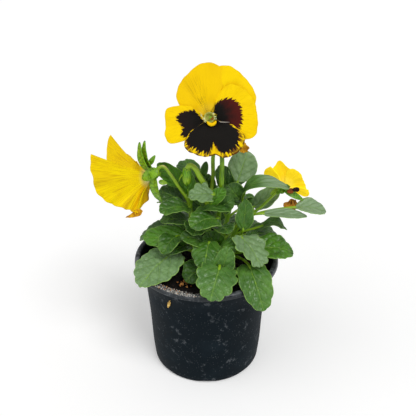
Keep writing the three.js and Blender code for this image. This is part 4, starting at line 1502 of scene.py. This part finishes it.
BACK_RIGHT_TIERS = (
    Tier((8, 10), (8, 40, 76), 110, 26, 30, 28, 0.25),
    Tier((12, 12), (26, 62, 96), 132, 18, 28, 25, 0.1),
    Tier((6, 18), (84,), 120, 6, 26, 25, 0),
    Tier((16, 14), (54,), 154, 12, 26, 21, -0.4),
)
BACK_LEFT_TIERS = (
    Tier((-4, 8), (104, 140, 174), 112, 23, 29, 28, 0.2),
    Tier((-8, 12), (118, 140), 132, 17, 22, 24, 0.1),
    Tier((-12, 16), (52,), 142, 8, 25, 20, -0.2),
    Tier((-10, 14), (104, 140), 152, 11, 26, 21, -0.4),
)

UPPER = PetalFinish("petal_yellow_upper", veins=0.14, vein_reach=3.4, fade=0.1)
# UPPER_LEFT: its fine dark lines are veins; its yellow, a little deeper than UPPER's, is painted shade.
UPPER_LEFT = PetalFinish(
    "petal_yellow_upper_left", bright=tint(248, 205, 5), ochre=tint(232, 186, 5), vein=tint(104, 72, 16),
    fade=0.1, veins=1.0, vein_reach=3.6, vein_spread=0.42, line_count=30.0, line_pitch=0.3, line_low=0.545,
    line_ramp=0.05,
)
LATERAL = PetalFinish("petal_blotched_left", fringe=0.95, streaks=0.6, blush=0.06)
LATERAL_RIGHT = PetalFinish("petal_blotched_right", fringe=1.0, streaks=0.3, blush=1.0)
LOWER = PetalFinish("petal_blotched_lower", fringe=1.3, teeth=9.0, streaks=2.0, rim=0.9)
# In SIDE and SIDE_DARK the crease colour is the painted shade in the petals' folds.
SIDE = PetalFinish(
    "petal_yellow_side", bright=tint(255, 226, 6), ochre=tint(248, 206, 8), vein=tint(184, 122, 10),
    throat=tint(222, 226, 170), crease=tint(196, 134, 30), fade=0.9, fade_reach=1.15, veins=0.6,
    vein_reach=11.0, line_count=70.0, line_pitch=0.3, line_low=0.5, line_ramp=0.1,
)
SIDE_DARK = replace(
    SIDE, name="petal_ochre_side", bright=tint(252, 208, 8), ochre=tint(232, 176, 12),
    vein=tint(168, 104, 22), crease=tint(168, 104, 40),
)
# A slightly deeper copy of SIDE for the left bloom's petals behind the near fan: painted shade.
SIDE_FAR_SHADED = replace(SIDE, name="petal_yellow_side_far_shaded", bright=tint(254, 217, 8), ochre=tint(244, 200, 10))
# The right bloom's petals, seen from behind, are given a painted glow though they are no lamp;
# TURNED_SHADED, for the two turned from the light, glows more. Their crease colour is painted shade in the
# folds.
TURNED = replace(
    SIDE, name="petal_yellow_turned", bright=tint(254, 222, 34), ochre=tint(246, 204, 20),
    vein=tint(236, 186, 20), crease=tint(240, 190, 20), fade=0.12, veins=0.2, glow=0.27,
)
TURNED_SHADED = replace(TURNED, name="petal_yellow_turned_shaded", veins=0.45, glow=0.5)

# A petal gives its first and last degree round its bloom's axis, the radii between them and its splay from
# that axis. A fold gives its place across the fan, its width and its height, and its valley is darkened
# with painted shade; a cut gives a point and a way.

MAIN_BLOOM = Bloom("main", (3, -14, 227), (0, -0.94, 0.34), [
    (Petal(12, 96, (32, 35, 36, 36.5, 37.5, 38, 35, 26), base=(1, 0.7), layer=-2.0, bow=1.2), UPPER),
    (Petal(
        66, 162, (30, 37, 39, 38, 35, 33, 30.5, 27, 21), base=(-1, 0), layer=-1, bow=1.2,
        folds=((0.62, 0.09, -0.8), (0.3, 0.1, 0.6), (0.8, 0.06, -0.5)),
    ), UPPER_LEFT),
    (Petal(
        -40, 80, (25, 33, 33, 32, 32, 31, 29, 26, 15), base=(1.8, 0), layer=0.2, claw=62,
        blotch=(18.7, 20.5, 21.2, 21.2, 21.3, 20.8, 18.0, 14.4, 10.0), cuts=((1.16, 5.5, 24.5),),
        folds=((0.7, 0.06, -0.6), (0.42, 0.08, 0.4)),
    ), LATERAL_RIGHT),
    (Petal(
        144, 225, (15, 22.5, 30.5, 31, 31, 33.5, 32.5, 22), base=(-1.8, -0.7), layer=0.4, claw=60,
        blotch=(11.5, 14.2, 19.4, 22.6, 20.2, 20.0, 22.8, 18.4), cuts=((-3.9, -3.9, 219),),
        folds=((0.25, 0.07, -0.6),),
    ), LATERAL),
    (Petal(
        211, 345, (16, 25.5, 28.5, 28, 28, 27.5, 26.5, 30, 31, 31.5, 30.5, 27.5, 17), base=(0, -0.7),
        layer=1.7, bow=0.6, wave=0.4, claw=60,
        blotch=(13.5, 23.6, 25.6, 24.6, 25.3, 25.2, 18.6, 27.0, 28.4, 28.4, 26.4, 23.4, 14),
        eye=(0.9, -2.5, 3.2), folds=((0.49, 0.035, -0.8), (0.3, 0.08, 0.4), (0.68, 0.08, 0.5)),
    ), LOWER),
], [Sepal(turn) for turn in (90, 18, 306, 234, 162)])

LEFT_BLOOM = Bloom("left", (-46, -6, 175), (-0.9, 0.3, -0.33), [
    (Petal(150, 225, (21, 30, 33, 30, 24), 38), SIDE),
    (Petal(66, 102, (37, 39.3, 43, 47.5), 54, layer=0.3), SIDE_FAR_SHADED),
    (Petal(92, 146, (34, 36, 31.5, 24), 50, layer=1.6, bow=0.6), SIDE_FAR_SHADED),
    (Petal(
        232, 305, (20, 19.5, 25, 31, 32), 60, folds=((0.4, 0.1, -1.4), (0.75, 0.08, 1.0)), frill=0.5,
    ), SIDE_DARK),
    (Petal(
        -48, 43, (31, 31.5, 35, 41, 46.5, 49, 51.7), 55, layer=1.4, frill=0.9, ripple=0.42,
        folds=(
            (0.5, 0.1, 1.0), (0.26, 0.035, -1.1), (0.12, 0.03, -0.8), (0.75, 0.08, -0.5),
            (0.97, 0.03, -0.25),
        ),
    ), SIDE),
], [Sepal(20, 100, 12), Sepal(190, 95, 14)], [
    Leaf((-39.8, -9, 179.0), (-49.7, -8, 205.3), 8.6, (-0.75, -0.65, 0.1), 4.8),
    Leaf((-38.2, -9, 180.0), (-45.9, -8, 206.5), 8.2, (-0.75, -0.65, 0.1), 4.6),
    Leaf((-43, -11, 188.2), (-38.3, -11, 195.9), 3.6, (0, -0.9, 0.4), 0.8),
    Leaf((-40.2, -11, 180.2), (-34.7, -11, 156), 7.4, (-0.5, -0.85, 0.1), 3.6),
    Leaf((-36.8, -13, 185), (-48.8, -12, 176.0), 8.2, (0, -0.9, 0.4), 2.2),
    Leaf((-36.6, -10, 173.4), (-30.3, -9, 171.1), 3.6, (0, -0.9, 0.5), 0.6),
])

RIGHT_BLOOM = Bloom("right", (63, 8, 162), (0.417, 0.833, 0.364), [
    (Petal(-30, 46, (18, 22, 22, 20.5, 19.5), 74, bow=0.5), TURNED_SHADED),
    (Petal(34, 120, (18.5, 18.5, 22, 17.5, 16.5, 17), 60, layer=0.4, bow=0.5), TURNED),
    (Petal(106, 206, (16, 18, 18, 17, 18.5, 20.5), 62, layer=-0.2, bow=0.5, frill=0.4), TURNED),
    (Petal(196, 286, (20, 22.5, 15, 10, 10), 77, layer=0.2, bow=0.5), TURNED_SHADED),
], [Sepal(330, 100, 10), Sepal(60, 100, 12), Sepal(130, 100, 12)], [
    Leaf((61.5, -1, 161.5), (77.0, -3, 153.3), 5.0, (0, -0.9, 0.5), 0.8),
])

THROAT_GREEN = PetalFinish("throat_green", bright=tint(214, 212, 120), ochre=tint(170, 184, 90), veins=0.3)
THROAT_GOLD = PetalFinish("throat_gold", bright=tint(254, 208, 8), ochre=tint(244, 168, 8), veins=0.3)
THROAT_MARKS = PetalFinish("throat_marks", bright=tint(150, 62, 16), ochre=tint(112, 40, 14), veins=0.0)
# A pale grey for the tube along a fold's edge: a painted highlight.
FOLD_HIGHLIGHT = PetalFinish("petal_fold_highlight", bright=tint(168, 160, 150), ochre=tint(130, 116, 104), veins=0)
HAIR_PALE = GrainFinish("beard_hair", tint(226, 216, 110), tint(244, 240, 190))


@dataclass
class Throat:
    """The main flower's throat: its green funnel, the yellow lip below it and the tufts of hair."""

    bloom: Bloom
    funnel: Profile = (
        (0, -5.0), (1.8, -4.6), (2.6, -2.8), (3.4, -0.9), (3.9, -0.2),
        (3.7, -0.6), (2.8, -2.0), (2.0, -4.0), (0, -4.8),
    )
    funnel_foot: Point = (-0.6, 0.2, 0)
    lip_middle: Point = (0.9, -1.8, 0.6)
    lip_turns: tuple[float, float] = (195, 350)
    lip_radius: float = 3.2
    lip_radii: tuple[float, ...] = (0.5, 1.0, 1.2, 1.25, 1.15, 1.0, 0.5)
    marks: tuple[Point, ...] = ((0.3, -0.6, 1.6), (1.2, -0.9, 1.9), (2.0, -0.4, 1.5))
    # The path of the pale tube along a fold's edge, a painted highlight.
    fold: tuple[Point, ...] = ((6.2, -2.4, 2.5), (7.2, -3.1, 2.7), (10.5, -3.2, 2.8), (13.8, -3.3, 2.7))
    hairs: int = 30
    left_tuft: Profile = ((-7.6, 3.0), (3.9, -6.2))
    right_tuft: Profile = ((2.9, 3.6), (1.4, -5.0))
    seed: int = 3

    def build(self) -> None:
        """Builds the funnel, the lip, its few dark marks, a pale tube along a fold's edge as a painted
        highlight, and the hairs.
        """
        point, r = self.bloom.point, self.lip_radius
        axes = np.array([self.bloom.x, self.bloom.y, self.bloom.z])
        self.dress(lathe("throat_funnel", self.funnel, 40, axes, point(*self.funnel_foot)), THROAT_GREEN)
        x, y, z = self.lip_middle
        turns = np.radians(np.linspace(*self.lip_turns, 24))
        path = np.array([point(x + r * math.cos(a), y + r * math.sin(a), z) for a in turns])
        self.dress(tube("throat_lip", path, self.lip_radii, 14), THROAT_GOLD)
        marks = []
        for x, y, length in self.marks:
            ends = point(x - 0.4, y + length / 2, 0.2), point(x, y - length / 2, 0.9)
            marks.append(tube("mark", np.linspace(*ends, 5), [0.2, 0.38, 0.3], 8))
        self.dress(join("throat_marks", marks), THROAT_MARKS)
        # The pale tube along the fold's edge is a painted highlight.
        edge = np.array([point(*place) for place in self.fold])
        self.dress(tube("painted_fold_highlight", edge, [0.12, 0.3, 0.3, 0.12], 8), FOLD_HIGHLIGHT)
        hand_over(self.beard(), HAIR_PALE, Slot.PETAL, "bloom_main")

    def dress(self, piece: Piece, finish: PetalFinish) -> None:
        """Dresses a piece of the throat, which has no blotch."""
        mark(piece.data, "blotch", NO_BLOTCH)
        hand_over(piece, finish, Slot.PETAL, "bloom_main")

    def beard(self) -> Piece:
        """Builds the tufts of pale hairs at the two lateral petals' feet, most of them on the left."""
        draw = random.Random(self.seed)
        hairs = []
        for k in range(self.hairs):
            share = draw.random()
            (x, y), (run_x, run_y) = self.left_tuft if k % 4 else self.right_tuft
            x, y, way = x + run_x * share, y + run_y * share, 0 if k % 4 else 180
            foot = self.bloom.point(x + draw.uniform(-0.5, 0.5), y + draw.uniform(-0.5, 0.5), 0.2)
            lean = self.bloom.direction(draw.uniform(-40, 40) + way, 60) * draw.uniform(1, 1.7)
            path = np.linspace(foot, foot + lean, 4)
            hairs.append(tube("hair", path, [0.24, 0.22, 0.16], 5, draw.random()))
        return join("throat_beard", hairs)


@dataclass
class Scrap:
    """A small withered piece, made of crumpled blades."""

    name: str
    blades: list[Leaf]
    finish: WitheredFinish
    node: str
    slot: Slot = Slot.PETAL

    def build(self) -> None:
        """Builds it."""
        made = [blade.blade(self.name) for blade in self.blades]
        hand_over(join(self.name, made), self.finish, self.slot, self.node)


def crumpled(top: Array, *blades: tuple[Point, float, Point]) -> list[Leaf]:
    """Withered petals that hang from one point.

    Args:
        top: The point, in millimetres.
        blades: Where each petal's tip lies from there, its width, and the way that it faces.

    Returns:
        The petals' blades.
    """
    dry = {"depth": 0.25, "teeth": 2, "ruffle": 0.8, "quilt": 0.5, "thickness": 0.4}
    return [Leaf(top, top + np.array(to), width, face, 1, 1, -0.3, **dry) for to, width, face in blades]


@dataclass
class Bud:
    """A nodding bud wrapped in its sepals, with one sepal's ear standing off it."""

    stalk: Stalk
    top: Point = (-15, -8, 184.5)
    skin: Profile = ((0, 0), (2.0, 0.5), (3.4, 3.4), (3.5, 8), (2.6, 12.5), (1.2, 15.2), (0, 16.2))
    sepals: int = 5
    sepal_length: float = 13.5
    sepal_width: float = 4.6

    def green(self) -> list[Piece]:
        """Builds the bud, its sepals and its stalk."""
        top = np.array(self.top, float)
        pieces = [lathe("bud", self.skin, 24, np.diag([1.0, -1.0, -1.0]), top)]
        for k in range(self.sepals):
            a = math.radians(20 + 360 / self.sepals * k)
            out = np.array([math.cos(a), math.sin(a), 0])
            joint, tip = top + out * 2.2 - UP * 0.4, top + out * 2.4 - UP * self.sepal_length
            pieces.append(Leaf(
                joint, tip, self.sepal_width, out + UP * 0.1, 0.95, -0.9, 0.1,
                teeth=0, quilt=0.2, thickness=0.5, own=0.15 * k,
            ).blade("bud_sepal"))
        joint, tip = top + (0, 0, -3.5), top + (-6, -1, -11.5)
        ear = Leaf(joint, tip, 4, (-1, 0, 1), 1, 0.3, teeth=0, quilt=0.1, own=0.8)
        return [*pieces, *self.stalk.green(), ear.blade("ear")]


# The left stalk and the bud's stalk end with the strength of their painted highlight.
LEFT_STALK = Stalk([
    (-13, 0, 142), (-15, -1, 152), (-21, -3, 164), (-28, -5, 177), (-33, -6, 184), (-37, -7, 183),
    LEFT_BLOOM.seat(),
], (1.4, 1.3, 1.25, 1.4, 1.9), 16, 0.8, 0.55)
RIGHT_STALK = Stalk([
    (32, 3, 133), (37, 4, 137), (43.6, 5, 142), (50.6, 6, 149), (56.7, 6, 156), RIGHT_BLOOM.seat(),
], (1.4, 1.3, 1.2, 1.5))
BUD_STALK = Stalk([
    (1, -4, 140), (0.5, -6, 163), (-5, -7.5, 176), (-9, -8, 184), (-12.5, -8, 186), (-15, -8, 183),
], (2.1, 2.1, 2.0, 1.9), 16, 0.9, 0.1)
SPENT_STALK = Stalk([
    (1, -2, 148), (4, 6, 158), (5.3, 11, 168), (5.3, 12, 184), (8, 13, 202), (16, 12, 209), (24, 8, 204),
    (27, 6, 200),
], (1.4, 1.6, 1.6, 1.4, 1.3), own=0.6)
MAIN_STALK = Stem("stalk_main", (8, 5), 1.9, [
    (9, 6, 120), (11, 2, 150), (12, 0, 171), (12, 3, 190), (9, 7, 207), (5, 7, 219), (3, 2, 224),
    MAIN_BLOOM.seat(),
])
STEMS = (
    LEFT_STEM, FRONT_STEM, CENTRE_STEM, FRONT_RIGHT_STEM, RIGHT_STEM, BACK_RIGHT_STEM, BACK_LEFT_STEM,
    MAIN_STALK,
)
BRANCHES = {
    "stem_left": (LEFT_STALK, LEFT_BLOOM),
    "stem_centre": (SPENT_STALK, Bud(BUD_STALK)),
    "stem_right": (RIGHT_STALK, RIGHT_BLOOM),
    "stalk_main": (MAIN_BLOOM,),
}

SPENT_END, SPENT_BEFORE = (np.array(SPENT_STALK.marks[k], float) for k in (-1, -2))
SPENT_TOP = SPENT_END + unit(SPENT_END - SPENT_BEFORE) * 0.7
SCRAPS = (
    Scrap(
        "spent_petals_dry",
        crumpled(SPENT_TOP, ((3, -1, -8), 7, (0, -1, 0.2)), ((-2, 2, -7), 6, (-1, 0.6, 0))),
        WitheredFinish("spent_petals_ochre", tint(150, 84, 14), tint(234, 178, 26)),
        "spent_petals", Slot.WITHERED,
    ),
    Scrap(
        "withered_petal_dry", crumpled(
            np.array([70, -0.8, 152.6]), ((-6, -1.5, -8.5), 9.5, (0, -1, 0.2)),
            ((-1.5, -1, -7.5), 8, (0.5, -0.8, 0)),
        ),
        WitheredFinish(), "withered_petal", Slot.WITHERED,
    ),
    Scrap("left_petal_curl", [Leaf(
        (-49, -21, 153.6), (-62.4, -20, 147.2), 4.6, (0.2, -0.7, 0.7), -1.8, 1.4, 0.7, teeth=2, ruffle=0.6,
    )], WitheredFinish("left_petal_curl_ochre", tint(160, 92, 20), tint(244, 192, 24)), "bloom_left"),
    Scrap("right_throat_brown", [Leaf(
        (63.4, -3.8, 161.2), (68.8, -3.6, 162.4), 4, (0, -0.9, 0.5), -0.5, 0.8, -0.2, teeth=2, ruffle=0.4,
    )], WitheredFinish("right_throat_brown", tint(84, 36, 14), tint(176, 96, 40)), "bloom_right"),
    Scrap("right_throat_dark", [Leaf(
        (67.6, -3.4, 162.8), (73.0, -3.0, 162.8), 3.6, (0, -0.9, 0.5), 0.8, 0.6, -0.2, teeth=0,
    )], WitheredFinish("right_throat_dark", tint(16, 8, 8), tint(52, 22, 16)), "bloom_right"),
)


# ---------------------------------------------------------------- studio


@dataclass
class Studio:
    """The pale floor, the soft light and the camera at the photograph's angle, all in metres."""

    floor_side: float = 6
    middle: Point = (0, 0, 0.14)
    eye: Point = (0.0013, -0.4548, 0.3966)
    pitch: float = 61
    lens: float = 56
    sky: float = 0.43
    key: float = 1.45
    fill: float = 0.6

    def build(self) -> None:
        """Sets the scene round the plant."""
        deselect()
        bpy.ops.mesh.primitive_plane_add(size=self.floor_side)
        floor = bpy.context.active_object
        floor.name = "floor"
        floor.data.materials.append(FloorFinish().material())
        world = bpy.data.worlds.new("studio_light")
        bpy.context.scene.world = world
        world.use_nodes = True
        sky = world.node_tree.nodes["Background"]
        sky.inputs["Color"].default_value = (1, 1, 1, 1)
        sky.inputs["Strength"].default_value = self.sky
        self.lamp("key", (0.3, -0.5, 1.0), 28, self.key)
        self.lamp("fill", (-0.7, -0.3, 0.8), 60, self.fill)
        bpy.ops.object.camera_add(location=self.eye, rotation=(math.radians(self.pitch), 0, 0))
        camera = bpy.context.active_object
        camera.data.lens = self.lens
        camera.data.clip_start = 0.01
        bpy.context.scene.camera = camera
        bpy.context.scene.view_settings.view_transform = "Standard"

    def lamp(self, name: str, place: Point, softness: float, strength: float) -> None:
        """Hangs one soft distant lamp that faces the plant's middle.

        Args:
            name: The lamp's name.
            place: The side from which it shines.
            softness: How wide its disc is, in degrees.
            strength: The light that it gives.
        """
        bpy.ops.object.light_add(type="SUN", location=place)
        lamp = bpy.context.active_object
        lamp.name = name
        lamp.data.angle, lamp.data.energy = math.radians(softness), strength
        way = Vector(self.middle) - Vector(place)
        lamp.rotation_euler = way.to_track_quat("-Z", "Y").to_euler()


# ---------------------------------------------------------------- all together


TIER_SEED = 29
GREEN_SEED = 11

# Each leaf's tone, in the order of its stem's leaves: dark green at 0, a pale greyish painted sheen
# towards 1, and below 0 a clear painted glow of light through the leaf.

GREENS_AND_PAINTED_LIGHT = {
    "stem_left": (0.8, -0.45, 0.4, 0.25, 0.42, 0.2, 0.25, -0.7, -0.5),
    "stem_front": (0.2, 0.5, 0.62, 0.6, 0.25, 0.4, 0.25),
    "stem_centre": (0.45, 0.55, 0.84, -0.5, 0.25, 0.4, 0.3, 0.2, 0.3, 0.1, 0.1, -0.4),
    "stem_front_right": (0.86, 0.58, -0.4, 0.25, 0.5),
    "stem_right": (1.5, 0.45, 0.85, 0.5, 0.1, 1.3),
    "stem_back_right": (0.9, 0.2),
}


def tones_for(stem: Stem, draw: random.Random) -> None:
    """Gives each leaf of a stem its tone, which also sets its painted sheen or glow, and draws one for a
    leaf that has none in the list.
    """
    known = GREENS_AND_PAINTED_LIGHT.get(stem.name, ())
    for k, leaf in enumerate(stem.leaves):
        leaf.own = known[k] if k < len(known) else draw.uniform(0.15, 0.7)


def grow_plant() -> None:
    """Builds the stems with what branches from them, the blooms and their withered bits."""
    turns, tones = seeded_random(TIER_SEED), random.Random(GREEN_SEED)
    for stem, tiers in ((BACK_RIGHT_STEM, BACK_RIGHT_TIERS), (BACK_LEFT_STEM, BACK_LEFT_TIERS)):
        for tier in tiers:
            stem.leaves += tier.leaves(turns)
    for stem in STEMS:
        tones_for(stem, tones)
        stem.build(BRANCHES.get(stem.name, ()))
    MAIN_BLOOM.build()
    Throat(MAIN_BLOOM).build()
    LEFT_BLOOM.build()
    RIGHT_BLOOM.build()
    for scrap in SCRAPS:
        scrap.build()


def main() -> None:
    """Builds the planter and its studio."""
    logging.basicConfig(level=logging.INFO, format="%(message)s")
    Pot().build()
    Soil().build()
    grow_plant()
    Studio().build()


if __name__ == "__main__":
    main()
